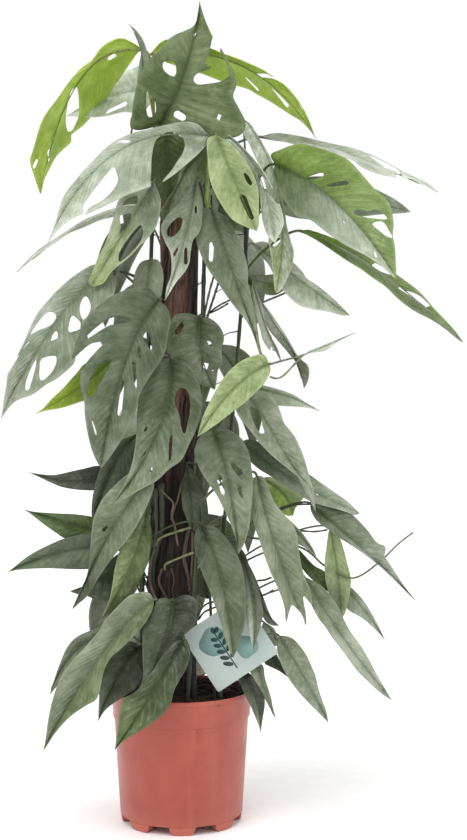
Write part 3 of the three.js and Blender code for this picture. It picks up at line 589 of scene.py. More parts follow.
# Each leaf's outline: both edges from base to tip as seen, in any order, then gaps as closed outlines, and
# slots as two ends with the width at each
OUTLINES = {
    "arch_left": """
        edge -60 932, -75 936, -95 926, -112 905, -133 888, -150 862, -168 836, -180 800, -182 788,
            -176 770
        edge -52 919, -60 908, -82 878, -92 862, -105 845, -118 832, -133 821, -134 812, -142 804,
            -150 795, -158 780, -166 765
        gap -127 879, -121 865, -121 850, -124 838, -135 823, -137 850, -135 868
        slot -86 912, -81 915, 6 6 slot -156 825, -154 815, 3 3 slot -160 803, -159 790, 3 3.5
        slot -177 782, -173 789, 4.5 4.5
    """,
    "crown": """
        edge -50 826, -59 830, -59 850, -55 875, -50 893, -37 913, -27 921, -20 930, -15 936, -6 942,
            4 946, 13 950, 18 957, 20 966
        edge 10 822, 45 816, 70 820, 77 834, 69 852, 62 867, 66 882, 61 900, 47 925, 38 937, 31 952, 26 966
        gap 14 886, 18 893, 30 897, 42 901, 27 903, 32 914, 35 926, 36 932, 40 942, 52 936, 46 922, 51 911,
            56 901, 57 891, 48 884, 36 881, 20 880
        gap -22 906, -16 908, -8 906, -6 896, -9 890, -17 893, -22 899
        gap -41 874, -36 867, -31 860, -30 848, -34 842, -40 843, -42 856
        slot -5 845, 2 841, 9 8 slot 44 838, 47 846, 4 4 slot 12 849, 15 847, 2.5 2.5
        slot 15 939, 17 943, 2 2
    """,
    "arch_right": """
        edge -20 934, 10 934, 35 925, 50 918, 70 910, 85 904, 100 898, 113 889, 124 881, 133 871, 142 858,
            149 846, 156 832
        edge -20 908, 10 898, 28 893, 50 885, 68 879, 80 875, 90 869, 100 864, 115 856, 130 846, 142 838,
            152 828
        slot 86 894, 119 886, 2 5 slot 108 875, 126 855, 2 4 slot 138 849, 141 846, 2 2.5
        slot 141 858, 145 852, 1.5 2 slot 72 891, 92 873, 1 2
    """,
    "big_left": """
        edge 20 832, 5 836, -15 834, -40 828, -60 822, -80 812, -92 803, -103 793, -120 776, -135 757,
            -143 742, -149 722, -155 705
        edge 28 806, 10 788, -10 772, -28 762, -36 760, -60 750, -85 738, -115 726, -121 726, -135 718,
            -150 704
        gap -30 815, -20 822, -8 823, 0 818, 3 808, 2 798, -5 787, -14 775, -22 766, -28 752, -36 756,
            -36 775, -34 800
        gap -80 780, -76 772, -75 762, -84 750, -95 741, -112 731, -118 720, -119 731, -112 742, -100 757,
            -88 772
        slot -80 808, -62 811, 1.5 2 slot -61 796, -61 794, 3 3
    """,
    "rolled": """
        edge -62 836, -55 860, -53 890, -51 905, -48 925, -53 941, -58 948
        edge -55 832, -47 855, -43 880, -38 905, -40 915, -45 932, -53 944
    """,
    "ghost": """
        edge -35 905, -60 900, -85 885, -110 862
        edge -45 850, -70 848, -90 843, -115 842
        slot -90 847, -67 857, 3 5
    """,
    "edge_on": """
        edge -60 735, -75 732, -95 725, -115 716, -130 708, -145 698, -165 685, -182 673
        edge -60 727, -80 722, -100 718, -120 709, -135 702, -150 692, -167 682, -184 669
    """,
    "pale_left": """
        edge -55 757, -75 743, -80 725, -85 710, -92 690, -100 674, -106 658, -112 645
        edge -27 750, -25 735, -30 712, -42 695, -50 687, -62 674, -78 662, -86 654, -94 642
        gap -72 733, -68 740, -60 745, -52 746, -53 739, -56 735, -64 734
        gap -74 718, -72 724, -62 729, -60 724, -64 712, -74 701, -72 710
        gap -75 668, -74 680, -62 698, -50 711, -46 706, -47 697, -55 685, -68 672
    """,
    "shade_centre": """
        edge 20 795, 0 780, -6 760, -16 745, -27 725
        edge 32 790, 24 770, 12 750, -4 735, -18 719
    """,
    "pale_front": """
        edge 31 815, 31 795, 33 772, 38 755, 47 738, 61 719, 77 710
        edge 56 812, 70 798, 84 778, 92 755, 93 730, 93 714
        slot 77 772, 82 762, 5 6 slot 74 745, 84 721, 7 5.5 slot 60 794, 61 792, 2 2
    """,
    "pale_strip": """
        edge 55 808, 70 795, 86 775, 92 755, 95 735, 98 715, 103 700
        edge 60 818, 75 803, 92 785, 103 768, 112 750, 120 730, 122 712
        slot 93 769, 101 760, 6 9 slot 109 752, 115 742, 8 9
    """,
    "twisted": """
        edge 83 834, 92 818, 101 802, 109 788, 113 770, 120 750, 124 730, 126 712, 131 694, 135 680,
            133 664, 127 648, 120 635
        edge 73 825, 80 812, 88 796, 96 778, 101 760, 106 742, 110 728, 112 710, 105 695, 107 680, 109 662,
            111 645, 112 635
        slot 109 687, 115 694, 5 8 slot 122 751, 124 746, 1.5 2
    """,
    "big_right": """
        edge 107 797, 120 803, 135 808, 150 808, 180 800, 200 791, 215 775, 230 757, 243 745, 251 735,
            255 715, 254 700, 256 688, 257 668
        edge 111 772, 118 752, 128 735, 140 722, 155 718, 168 708, 185 696, 200 687, 220 676, 240 663
        gap 206 726, 210 730, 218 729, 224 727, 232 730, 240 727, 247 719, 230 719, 215 722
        gap 228 713, 238 716, 244 713, 250 704, 254 697, 246 698, 236 705
        slot 153 768, 168 771, 4 5 slot 174 758, 197 761, 2 6 slot 191 719, 197 711, 1.5 2
        slot 231 680, 233 674, 2 3
    """,
    "long_right": """
        edge 155 704, 170 698, 190 690, 215 680, 240 664, 258 650, 275 640, 290 628, 302 615, 315 600,
            325 588
        edge 152 699, 165 692, 185 680, 200 670, 215 660, 230 648, 245 638, 260 625, 280 610, 300 598,
            320 585
        gap 258 634, 262 636, 270 634, 285 625, 297 615, 293 614, 280 621, 266 629
        slot 230 664, 250 652, 2.5 2
    """,
    "top_right": """
        edge 115 822, 137 819, 160 815, 190 808, 208 804, 220 799, 240 791, 262 780, 280 770, 295 762
        edge 110 814, 125 812, 145 807, 175 798, 205 790, 215 783, 235 775, 256 770, 275 767, 290 761
        gap 221 796, 230 789, 245 781, 257 774, 258 764, 264 768, 262 775, 252 782, 238 789
    """,
    "pale_right": """
        edge 100 692, 120 680, 134 668, 146 655, 150 648, 165 638, 180 626, 192 614
        edge 92 678, 105 664, 117 640, 128 627, 140 617, 155 612, 180 607, 192 604
        slot 160 630, 169 624, 1.2 2
    """,
    "dark_across": """
        edge 115 652, 100 652, 86 652
        edge 113 628, 100 629, 88 634
    """,
    "centre": """
        edge 8 755, 0 742, -10 732, -20 720, -25 708, -20 692, -14 680, -12 665, -13 650, -18 636
        edge 22 755, 25 740, 25 722, 22 705, 14 694, 11 680, 9 666, 3 655, -6 644
        gap -18 703, -14 712, -5 720, 1 720, 0 710, -6 701, -14 697
        slot 17 733, 17 727, 3 4 slot -5 683, -9 676, 3 4 slot 5 683, 5 667, 4 5
    """,
    "right_centre": """
        edge 26 732, 20 716, 17 698, 24 675, 34 656, 45 641, 56 625, 68 609, 78 597, 86 582
        edge 48 726, 60 712, 68 695, 76 677, 80 658, 80 640, 85 620, 89 598, 91 580
        slot 36 688, 35 670, 6 5
    """,
    "far_left": """
        edge -105 664, -130 651, -150 634, -160 622, -171 608, -180 592, -190 571, -200 552, -208 535,
            -210 518, -214 500
        edge -80 650, -79 638, -84 622, -97 608, -112 592, -120 575, -127 556, -130 545, -148 529,
            -163 521, -180 509, -200 500
        gap -151 605, -157 606, -163 603, -172 594, -182 580, -172 583, -158 591, -151 599
        gap -175 550, -173 547, -175 535, -179 523, -183 514, -187 514, -186 523, -181 538
        gap -167 551, -150 554, -149 547, -153 538, -160 530, -167 525, -170 529, -169 541
        gap -158 572, -154 581, -150 585, -147 580, -146 576, -150 574
        gap -134 582, -133 596, -130 602, -124 598, -119 591, -123 585
        gap -121 607, -120 618, -116 625, -111 622, -108 610, -117 597
        gap -175 575, -185 567, -192 560, -199 548, -208 535, -214 532, -204 550, -196 556, -186 569
        slot -129 559, -129 558, 3 3 slot -119 646, -116 647, 1 1
    """,
    "mid_left": """
        edge -40 636, -60 636, -79 630, -92 622, -104 612, -115 598, -121 585, -130 560, -131 546,
            -122 538, -122 520, -117 500, -116 485, -112 460, -107 440, -101 426
        edge -18 614, -13 598, -16 580, -19 562, -28 545, -40 527, -50 508, -55 490, -64 468, -78 445,
            -90 428
        gap -84 573, -95 571, -108 569, -118 562, -129 552, -134 542, -118 538, -113 547, -105 556, -95 566
        gap -82 550, -88 549, -100 541, -109 528, -112 518, -112 505, -107 506, -97 522, -88 538
        gap -89 597, -80 600, -72 601, -63 599, -60 595, -68 593, -78 591, -86 590, -104 580, -122 568,
            -126 563, -112 580, -100 590
        gap -46 578, -42 583, -37 575, -35 562, -38 562, -42 570, -45 571
        slot -52 563, -50 554, 4 4 slot -57 545, -54 517, 6 2 slot -70 524, -74 486, 4 6
        slot -107 477, -102 461, 1.5 2.5
    """,
    "oval": """
        edge -48 668, -55 658, -59 640, -58 620, -52 602
        edge -28 670, -22 655, -23 635, -28 615, -38 598
    """,
    "lit_left": """
        edge -95 553, -116 546, -126 534, -140 519, -155 504, -165 493
        edge -85 535, -98 518, -108 505, -118 501, -140 494, -160 490
    """,
    "middle": """
        edge 34 600, 46 590, 51 577, 48 562, 49 548, 44 538, 42 524
        edge 8 606, -8 604, -15 590, -18 574, -17 556, -5 541, 6 529, 20 522, 34 517
        gap 29 559, 33 550, 31 540, 27 533, 25 540, 24 550
        slot 30 578, 35 567, 3 4 slot 33 532, 38 537, 2 3 slot 1 592, -6 583, 6 6
    """,
    "grey_front": """
        edge -35 548, -48 520, -53 490, -54 465, -57 440, -61 420, -68 402, -76 388
        edge 4 548, 18 530, 25 505, 24 485, 17 465, 9 448, 0 430, -15 419, -30 405, -50 394, -68 384
        gap -6 512, 0 516, 7 512, 10 500, 10 488, 8 478, 5 463, 2 462, -1 472, -2 483, -8 496, -8 504
        gap -42 471, -41 466, -46 463
        slot -31 484, -38 471, 1.5 2.5 slot -34 481, -35 476, 1.5 1.5 slot -42 440, -50 430, 2 1
        slot -12 462, -13 450, 2 4 slot -13 450, -14 429, 4 2.5 slot -35 422, -37 415, 1.5 2
    """,
    "lit_front": """
        edge 98 557, 80 553, 66 545, 53 532, 43 517, 34 500, 25 480
        edge 107 538, 100 523, 85 507, 70 494, 55 483, 38 470
    """,
    "young": """
        edge 155 562, 165 566, 180 572, 192 577
        edge 158 559, 172 561, 181 567, 193 575
    """,
    "narrow": """
        edge 84 630, 90 602, 95 585, 98 574, 106 562, 113 560
        edge 92 628, 98 612, 101 592, 106 580, 114 567, 118 556
        slot 108 566, 108 556, 2 4
    """,
    "hooked": """
        edge 96 606, 104 588, 116 573, 130 556, 140 544, 148 531, 148 521
        edge 102 611, 110 598, 120 583, 132 565, 141 552, 151 544, 153 534, 151 523
    """,
    "grey_right": """
        edge 92 520, 105 518, 120 514, 135 508, 148 500, 157 494
        edge 92 500, 105 496, 120 495, 140 494, 155 492
    """,
    "pale_low": """
        edge 70 503, 65 492, 72 478, 83 464, 95 449, 110 434, 130 418, 148 403, 157 388
        edge 100 512, 113 500, 119 487, 123 475, 130 466, 136 458, 143 443, 149 427, 154 410, 159 390
        gap 82 493, 90 492, 95 484, 97 475, 97 464, 95 461, 90 468, 85 480
        slot 97 468, 98 463, 3 4
    """,
    "dark_low": """
        edge -62 458, -71 455, -80 448, -88 440, -94 430, -98 418, -104 400, -107 385, -108 365
        edge -52 450, -55 430, -61 415, -76 396, -92 378, -103 360
    """,
    "low_a": """
        edge -98 423, -120 419, -140 414.5, -155 412, -170 413, -178 414.5
        edge -98 395, -120 394, -142 397, -155 402, -168 408, -178 413
    """,
    "low_b": """
        edge -88 358, -107 362, -130 365, -150 366, -170 367, -180 368.5
        edge -95 336, -120 335, -140 336, -150 342, -160 349, -172 358, -182 366
    """,
    "low_c": """
        edge -95 343, -118 341, -140 336, -155 330, -170 323, -185 314, -198 304
        edge -95 302, -115 299, -135 299, -160 300, -180 299.5, -198 298
    """,
    "long_grey": """
        edge -52 420, -66 412, -80 400, -95 383, -105 362, -108 345, -110 320, -112 300, -116 284, -123 268
        edge -33 400, -40 378, -50 358, -62 338, -76 321, -90 303, -102 285, -113 267, -123 258
        slot -86 363, -79 369, 2 3 slot -93 346, -86 352, 4 2
    """,
    "half_lit": """
        edge -52 360, -62 340, -74 322, -80 300, -82 285, -86 264, -91 250
        edge -39 360, -36 342, -37 325, -39 312, -44 297, -53 282, -63 268, -76 255, -87 246
    """,
    "low_d": """
        edge -72 318, -88 308, -103 291, -115 279, -126 275
        edge -74 264, -90 261, -102 262, -113 266, -125 269
    """,
    "long_skirt": """
        edge -40 271, -55 270, -66 265, -80 251, -92 238, -100 224, -115 206, -130 190, -142 175, -150 158,
            -156 138, -160 118, -163 98
        edge -34 252, -40 240, -48 228, -60 216, -72 204, -85 193, -94 176, -101 145, -115 135, -130 125,
            -142 114, -152 102, -160 90
    """,
    "green_skirt": """
        edge -92 231, -105 227, -120 221, -130 214, -138 204, -144 192, -149 178, -153 165, -157 156
        edge -90 212, -110 196, -128 182, -142 168, -150 158, -155 152
    """,
    "black_skirt": """
        edge -62 212, -76 203, -88 194, -96 180, -99 165, -99 150, -99 138, -100 126
        edge -48 200, -46 185, -47 168, -55 156, -68 147, -80 139, -90 131, -96 124
    """,
    "wide_skirt": """
        edge -18 264, -28 262, -33 248, -41 236, -47 226, -47 210, -47 192, -46 172, -50 155
        edge -4 266, 5 268, 13 266, 19 260, 19 248, 17 233, 8 224, -3 214, -14 202, -24 190, -34 174,
            -43 158
    """,
    "teal_skirt": """
        edge -8 212, -16 203, -26 190, -38 172, -50 157, -60 148, -70 143, -74 130, -76 112, -78 96
        edge 6 215, 10 205, 10 195, 6 180, -2 166, -9 152, -12 140, -20 127, -32 117, -45 107, -60 99,
            -72 91
    """,
    "under_front": """
        edge 28 463, 19 453, 15 440, 18 428, 25 413, 33 401, 42 388, 49 374, 55 362, 61 348, 66 332
        edge 50 469, 64 462, 74 453, 81 438, 84 420, 86 400, 84 375, 82 355, 79 340, 74 327
        gap 59 426, 66 425, 65 415, 61 419
        gap 67 421, 74 417, 70 409, 66 414
        gap 44 411, 48 412, 49 405, 48 402, 44 402
        gap 46 399, 51 400, 52 390, 50 387, 47 393
        gap 68 398, 72 398, 73 390, 75 383, 71 386, 68 392
        slot 32 451, 32 450, 2.5 2.5 slot 33 443, 33 442, 2 2 slot 50 385, 51 382, 2 2
        slot 70 406, 71 405, 1.5 1.5 slot 73 381, 75 375, 1 1
    """,
    "long_dark": """
        edge 84 455, 100 447, 115 437, 135 424, 153 413, 167 403, 182 393, 196 383, 206 374, 212 368
        edge 80 432, 92 420, 105 412, 120 401, 135 392, 150 383, 165 377, 180 373, 197 368, 208 364
        slot 167 396.5, 169 396.5, 1.5 1.5 slot 160 391, 165 387, 1.5 1.5
    """,
    "lobed_right": """
        edge 163 379, 180 374, 197 369, 208 362, 217 353, 225 344, 232 334, 238 329, 244 327, 245 321,
            244 315, 249 307, 257 295, 266 281
        edge 155 370, 160 360, 168 352, 177 346, 187 338, 198 331, 212 322, 226 312, 240 301, 254 289,
            267 275
        slot 214 342, 218 340, 2.5 2 slot 236 319, 237 318, 2.5 2
    """,
    "curled": """
        edge 93 403, 98 396, 104 388, 106 380, 112 373, 120 367, 127 363
        edge 106 410, 118 403, 130 396, 141 389, 147 385, 142 379, 137 372
    """,
    "hanging": """
        edge 176 342, 174 325, 172 308, 172 295, 174 280, 179 265, 185 252
        edge 183 343, 190 336, 195 322, 199 307, 203 290, 203 277, 201 262, 197 248
        slot 187 297, 189 298, 2.5 2.5 slot 197 291, 197 290, 2 2 slot 197 266, 196 258, 1 2
    """,
    "tip_right": """
        edge 198 281, 206 275, 214 267, 221 258, 227 248, 233 238, 238 228
        edge 195 262, 200 250, 210 244, 220 238, 230 229, 238 221
    """,
    "silver_low": """
        edge 84 400, 84 385, 84 370, 87 352, 93 335, 99 316, 105 300, 112 284, 119 268, 124 252, 126 236,
            136 228
        edge 100 408, 106 392, 113 377, 124 364, 134 352, 139 340, 141 322, 144 303, 149 287, 155 272,
            157 256, 153 242
        gap 127 228, 128 243, 131 253, 133 256, 140 250, 145 243, 148 231, 140 222
        gap 146 267, 151 262, 154 258, 160 256, 160 240, 151 232, 149 246, 147 256
        slot 113 312, 114 311, 2 2 slot 126 330, 128 326, 1.2 2
    """,
    "dark_slip": """
        edge 106 378, 118 369, 130 358, 142 346, 150 336, 157 325
        edge 106 360, 122 342, 136 331, 148 325, 157 318
    """,
    "deep_slip": """
        edge 142 322, 150 313, 160 303, 172 296, 178 286
        edge 141 308, 146 298, 156 287, 168 278, 176 272
    """,
    "long_low": """
        edge 160 284, 172 275, 182 263, 190 250, 197 235, 205 221, 215 207, 225 191, 235 172, 244 156
        edge 150 278, 153 264, 159 250, 166 238, 173 229, 180 218, 190 205, 200 192, 212 176, 226 162,
            241 149
    """,
    "pole_slip": """
        edge 4 415, 0 402, 0 388, 1 374, 5 362, 9 352
        edge 14 417, 22 405, 28 392, 31 378, 32 364, 29 352, 22 346
    """,
    "tag_left": """
        edge 18 347, 15 335, 16 322, 20 308, 24 296, 29 284, 35 270, 40 255, 46 238, 52 218, 57 203
        edge 36 352, 48 343, 58 331, 66 318, 72 304, 75 290, 77 275, 78 258, 77 240, 73 222, 68 206
    """,
    "tag_right": """
        edge 76 318, 82 302, 88 288, 93 274, 96 260, 98 246, 95 230, 90 214
        edge 66 310, 71 292, 75 272, 77 252, 79 235, 83 216
    """,
    "tag_back": """
        edge 80 306, 90 286, 98 266, 104 250, 110 238
        edge 74 296, 84 272, 94 250, 101 236, 110 231
    """,
    "pole_green": """
        edge 20 300, 15 290, 15 276, 20 268, 26 265
        edge 32 298, 33 286, 36 272, 36 265
    """,
    "olive": """
        edge 123 219, 133 216, 142 207, 150 196, 156 183, 161 170, 164 157, 169 142, 174 127
        edge 115 211, 115 199, 119 187, 124 176, 131 164, 141 151, 153 138, 165 126
    """,
    "pale_edge": """
        edge 68 168, 73 155, 78 144, 84 132, 89 120, 93 110
        edge 83 173, 91 160, 99 146, 100 136, 98 122, 96 110
    """,
    "ribbed": """
        edge 82 178, 88 166, 94 154, 100 143, 106 132, 110 124
        edge 98 183, 100 170, 104 156, 108 143, 110 132, 112 124
    """,
    "slip_a": """
        edge 104 233, 111 228, 115 220, 118 213
        edge 96 226, 102 218, 108 211, 113 206
    """,
    "slip_b": """
        edge 113 199, 117 191, 123 179, 127 171
        edge 99 187, 108 181, 118 176, 125 171
    """,
}

# Thin stalks, curls and roots that show between the leaves: stem, radius, tone, depth at both ends, and the
# points that each one runs through as seen. Those in the black tone carry painted shade, where they lie in
# shadow.
TENDRILS = [
    ("low_right", 1.5, "curl", -36, -30, "31 351, 20 351, 8 348, -8 343, -20 339, -28 334, -31 327"),
    ("low_right", 1.4, "curl", -42, -30, "15 319, 4 315, -8 310, -17 306, -20 303, -20 298"),
    ("low_left", 3.2, "moss_dark", -32, -14, "-24 402, -23 370, -24 345, -30 322, -34 300, -33 278, -27 258"),
    ("low_left", 2.2, "root_grey", -26, -24, "-30 396, -30 365, -30 340, -32 325"),
    ("low_left", 1.3, "root", -34, -30, "-26 395, -18 387, -10 378, -12 364, -8 350, -6 336, -4 327"),
    ("low_left", 1.1, "root", -32, -31, "0 402, -4 385, -9 371, -13 358"),
    ("low_left", 2.1, "root_dark", -31, -29, "10 352, 5 331, 3 310, 8 290, 10 272"),
    ("low_left", 1.5, "root", -28, -26, "13 345, 13 320, 12 296, 11 268"),
    ("low_left", 1.4, "root", -24, -34, "-31 326, -37 306, -38 285, -33 268, -26 259, -14 256"),
    ("low_left", 1.5, "root_dark", -32, -33, "-23 300, -27 284, -20 268, -15 257"),
    ("low_left", 1.1, "root_dark", -30, -26, "-12 300, -9 285, -11 270, -6 258"),
    ("low_left", 0.9, "black", -20, -24, "-52 285, -46 281, -40 279"),
    ("low_left", 0.9, "black", -16, -22, "-45 296, -40 284, -37 270, -33 262"),
    ("low_right", 0.9, "black", -20, -24, "14 311, 20 309, 27 310"),
    ("low_right", 1.1, "black", -20, -24, "13 297, 20 297, 28 297"),
    ("low_right", 1.2, "curl", -22, -26, "16 279, 22 287, 28 291"),
    ("low_right", 1.1, "olive", -30, -46, "18 240, 22 249, 30 257, 40 260"),
    ("low_right", 1.2, "olive", -30, -46, "20 238, 27 247, 35 251, 43 254"),
    ("low_right", 1.2, "olive", -30, -44, "119 370, 137 376, 155 377"),
    ("low_right", 1.1, "olive", -30, -40, "143 345, 160 344, 175 346"),
    ("low_right", 1.2, "olive", -36, -44, "91 285, 100 286, 108 289"),
    ("low_right", 1.1, "olive", -36, -44, "94 266, 102 269, 110 274"),
    ("outer", 2.2, "black", -16, -20, "77 712, 77 685, 78 655, 84 640"),
    ("outer", 1.7, "curl", -20, -80, "84 640, 88 600, 93 565, 98 552"),
    ("outer", 1.1, "curl", -24, -30, "106 530, 114 528, 122 531, 132 541, 146 556"),
    ("outer", 1.3, "root", -20, -14, "40 655, 34 634, 29 612, 27 600"),
    ("outer", 1.4, "olive", -22, -14, "45 645, 39 626, 33 608, 31 600"),
    ("outer", 1, "black", -20, -12, "58 622, 46 616, 36 609, 30 603"),
    ("outer", 1, "black", -24, -12, "56 618, 44 611, 33 606"),
    ("right", 3.3, "lush", -34, -32, "28 790, 30 768, 31 752, 31 738, 34 731"),
    ("right", 1, "black", -28, -30, "36 748, 36 735, 38 722"),
    ("right", 1.8, "deep", -28, -30, "48 740, 45 728, 43 716"),
    ("left", 1, "black", -26, -28, "-18 752, -15 742, -12 732"),
    ("left", 1.7, "deep", -26, -30, "-84 657, -72 656, -60 652, -52 648"),
]

# The leaves round the back, in two staggered columns on each of its stems
BACK_LEAVES = [
    {"stem": "back_left", "low": 215, "high": 795, "count": 9, "spread": 7},
    {"stem": "back", "low": 190, "high": 610, "count": 7, "spread": 8},
    {"stem": "back_right", "low": 290, "high": 570, "count": 5, "spread": 8},
    {"stem": "back_right", "low": 712, "high": 784, "count": 2, "spread": 8},
]
BACK_TONES = ["mist", "slate", "silver", "moss", "mist", "slate"]


def spots(words):
    """The points that a row of numbers gives, in metres."""
    numbers = [float(word) * MM for word in words.replace(",", " ").split()]
    return [Vector(pair) for pair in zip(numbers[::2], numbers[1::2])]


def slot_distance(point, slot):
    """How far a point is outside a slot given by its two ends and their widths, below 0 inside it."""
    start, end, widths = slot
    axis = end - start
    offset = point - start
    share = clamp(offset.dot(axis) / max(axis.length_squared, 1e-12))
    return (offset - axis * share).length - mix(*widths, share) / 2


def gap_distance(point, outline):
    """How far a point is outside a closed outline, below 0 inside it."""
    nearest = math.inf
    inside = False
    for a, b in zip(outline, outline[1:] + outline[:1]):
        edge = b - a
        offset = point - a
        share = clamp(offset.dot(edge) / max(edge.length_squared, 1e-12))
        nearest = min(nearest, (offset - edge * share).length)
        if (a.y > point.y) != (b.y > point.y):
            crossing = a.x + edge.x * (point.y - a.y) / edge.y
            inside = inside != (point.x < crossing)
    return -nearest if inside else nearest


def rounded(points, steps=3):
    """A closed outline rounded through its points."""
    curve = []
    count = len(points)
    for i in range(count):
        near = [points[(i + k) % count] for k in (-1, 0, 1, 2)]
        curve += [bent(near, step / steps) for step in range(steps)]
    return curve


def with_box(outline):
    """An outline with the corners of the box that holds it and a little more round it."""
    margin = Vector((5, 5)) * MM
    low = Vector((min(point.x for point in outline), min(point.y for point in outline)))
    high = Vector((max(point.x for point in outline), max(point.y for point in outline)))
    return outline, (low - margin, high + margin)


class Blade:
    """One leaf: its midrib, the way it faces, its edges, its cuts and its stalk."""

    def __init__(self, name, stem, base, middle, tip, width, roll, tones, windows=()):
        self.name = name
        self.stem = STEMS[stem]
        self.stem_name = stem
        self.base = base
        self.middle = middle
        self.tip = tip
        self.width = width * MM
        self.whole_width = width
        self.roll = math.radians(roll)
        self.tones = tones
        self.edges = {}
        self.gaps = []
        self.slots = []
        self.length = sum((self.rib((i + 1) / 8) - self.rib(i / 8)).length for i in range(8))
        chord = (tip - base).normalized()
        aside = Vector((chord.z, 0, -chord.x)).normalized()
        self.upper = FRONT * math.cos(self.roll) + aside * math.sin(self.roll)
        if name in OUTLINES:
            self.read_outline(OUTLINES[name])
        self.flat_slots = [self.window(u, side) for u in windows for side in (-1, 1)]

    def read_outline(self, words):
        start = seen_from(self.base)
        chord = seen_from(self.tip) - start
        for part in re.findall(r"[a-z]+[^a-z]+", words):
            kind, numbers = part.split(maxsplit=1)
            places = spots(numbers)
            if kind == "gap":
                self.gaps.append(with_box(rounded(places)))
                continue
            if kind == "slot":
                self.slots.append(places)
                continue
            middle = sum(places, Vector((0, 0))) / len(places) - start
            turned = chord.x * middle.y - chord.y * middle.x
            facing_viewer = 1 if self.upper.y < 0 else -1
            side = -facing_viewer if turned > 0 else facing_viewer
            while side in self.edges:
                side = -side
            self.edges[side] = through([start, *places, seen_from(self.tip)])

    def window(self, u, side):
        """A hole between midrib and edge, as a slot seen from straight above the flattened blade."""
        half = self.half_width(u) * side
        width = WINDOW * self.length
        along = u * self.length
        return Vector((half * 0.34, along)), Vector((half * 0.78, along)), Vector((width * 0.8, width))

    def rib(self, u):
        handle = self.middle * 2 - (self.base + self.tip) / 2
        return self.base * (1 - u) ** 2 + handle * (2 * u * (1 - u)) + self.tip * (u * u)

    def along(self, u):
        return (self.rib(u + 0.01) - self.rib(u - 0.01)).normalized()

    def facing(self, along):
        return (self.upper - along * self.upper.dot(along)).normalized()

    def half_width(self, u):
        rise = BROADEST * TAPER
        return self.width / 2 * (u / BROADEST) ** rise * ((1 - u) / (1 - BROADEST)) ** POINT

    def edge(self, u, side, rib, along, normal):
        """The edge beside a point of the midrib. A read edge keeps its place as seen, and is as far forward of
        the midrib as the plain blade's would be at that width."""
        across = along.cross(normal) * side
        reach = self.half_width(u)
        free = rib + (across * math.cos(FOLD) + along * SLANT + normal * math.sin(FOLD)) * reach
        curve = self.edges.get(side)
        if curve is None:
            return free
        target = curve(1 - (1 - u) ** EDGE_LEAD)
        spot = seen_from(rib)
        plain = max((seen_from(free) - spot).length, reach * 0.4, 0.2 * MM)
        share = min((target - spot).length / plain, 1.5)
        return at_depth(target, rib.y + (free.y - rib.y) * share)

    def point(self, u, across):
        """A point of the middle surface, for a share of the way along and -1 to 1 from edge to edge."""
        u = clamp(u, 0.0005, 0.9995)
        rib = self.rib(u)
        along = self.along(u)
        normal = self.facing(along)
        share = abs(across)
        side = 1 if across > 0 else -1
        place = rib.lerp(self.edge(u, side, rib, along, normal), share) if share else rib
        wave = self.width * WAVE * share * math.sin(u * WAVES + across)
        return place + normal * wave

    def relief(self, u, across, place):
        """The channel over the midrib, the swell of each half, and the quilting between the side veins."""
        settings = bpy.context.scene.aroid_leaf
        normal = self.facing(self.along(u))
        share = abs(across)
        half = max(self.half_width(clamp(u, 0.01, 0.99)), 2 * MM)
        from_rib = share * half / (1.8 * MM)
        channel = settings.groove * math.exp(-from_rib * from_rib) * smooth(0, 0.1, u) * smooth(1, 0.8, u)
        swell = 4 * share * (1 - share)
        quilt = settings.quilting * abs(math.sin(math.pi * self.vein(u, across)))
        return place + normal * ((quilt + BULGE * half * swell) * swell - channel)

    def vein(self, u, across):
        """Counts up by one from each side vein to the next. The veins lean towards the tip as they leave the
        midrib."""
        half = self.half_width(clamp(u, 0.01, 0.99))
        return (u * self.length - VEIN_SLANT * abs(across) * half) / VEIN_GAP + 20

    def openness(self, u, across):
        """Above 0 on the blade and below 0 in its holes."""
        value = 1.0
        if self.gaps or self.slots:
            spot = seen_from(self.point(u, across))
            value = min([value, *(slot_distance(spot, slot) for slot in self.slots)])
            for gap, (low, high) in self.gaps:
                if low.x < spot.x < high.x and low.y < spot.y < high.y:
                    value = min(value, gap_distance(spot, gap))
        if self.flat_slots:
            flat = Vector((across * self.half_width(clamp(u, 0.001, 0.999)), u * self.length))
            value = min([value, *(slot_distance(flat, slot) for slot in self.flat_slots)])
        return value

    def right_side(self):
        """1 where the blade's half with across above 0 is the one seen on the right, and -1 where it isn't."""
        first, second = (seen_from(self.point(0.4, side)).x for side in (1, -1))
        return 1 if first > second else -1

    def stalk(self):
        """The stalk's curve from its stem to the base of the blade."""
        base = self.base / MM
        away = math.hypot(base.x - pole_x(base.z), base.y) - self.stem["head"]
        drop = 0.4 * abs(away) + 30 * scatter(self.whole_width, 1)
        highest = self.stem["top"] - 3 - 30 * scatter(self.whole_width, 4)
        start = stem_point(self.stem, clamp(base.z - drop, SOIL_TOP + 14, highest))
        length = (start - self.base).length
        outward = (self.base - start) * 0.2
        outward.z = 0
        rise = start + outward + UP * (0.32 * length)
        bend = self.base - self.along(0.02) * min(0.25 * length, 14 * MM)

        def curve(t):
            ends = start * (1 - t) ** 3 + self.base * t**3
            return ends + rise * (3 * t * (1 - t) ** 2) + bend * (3 * t * t * (1 - t))

        return curve


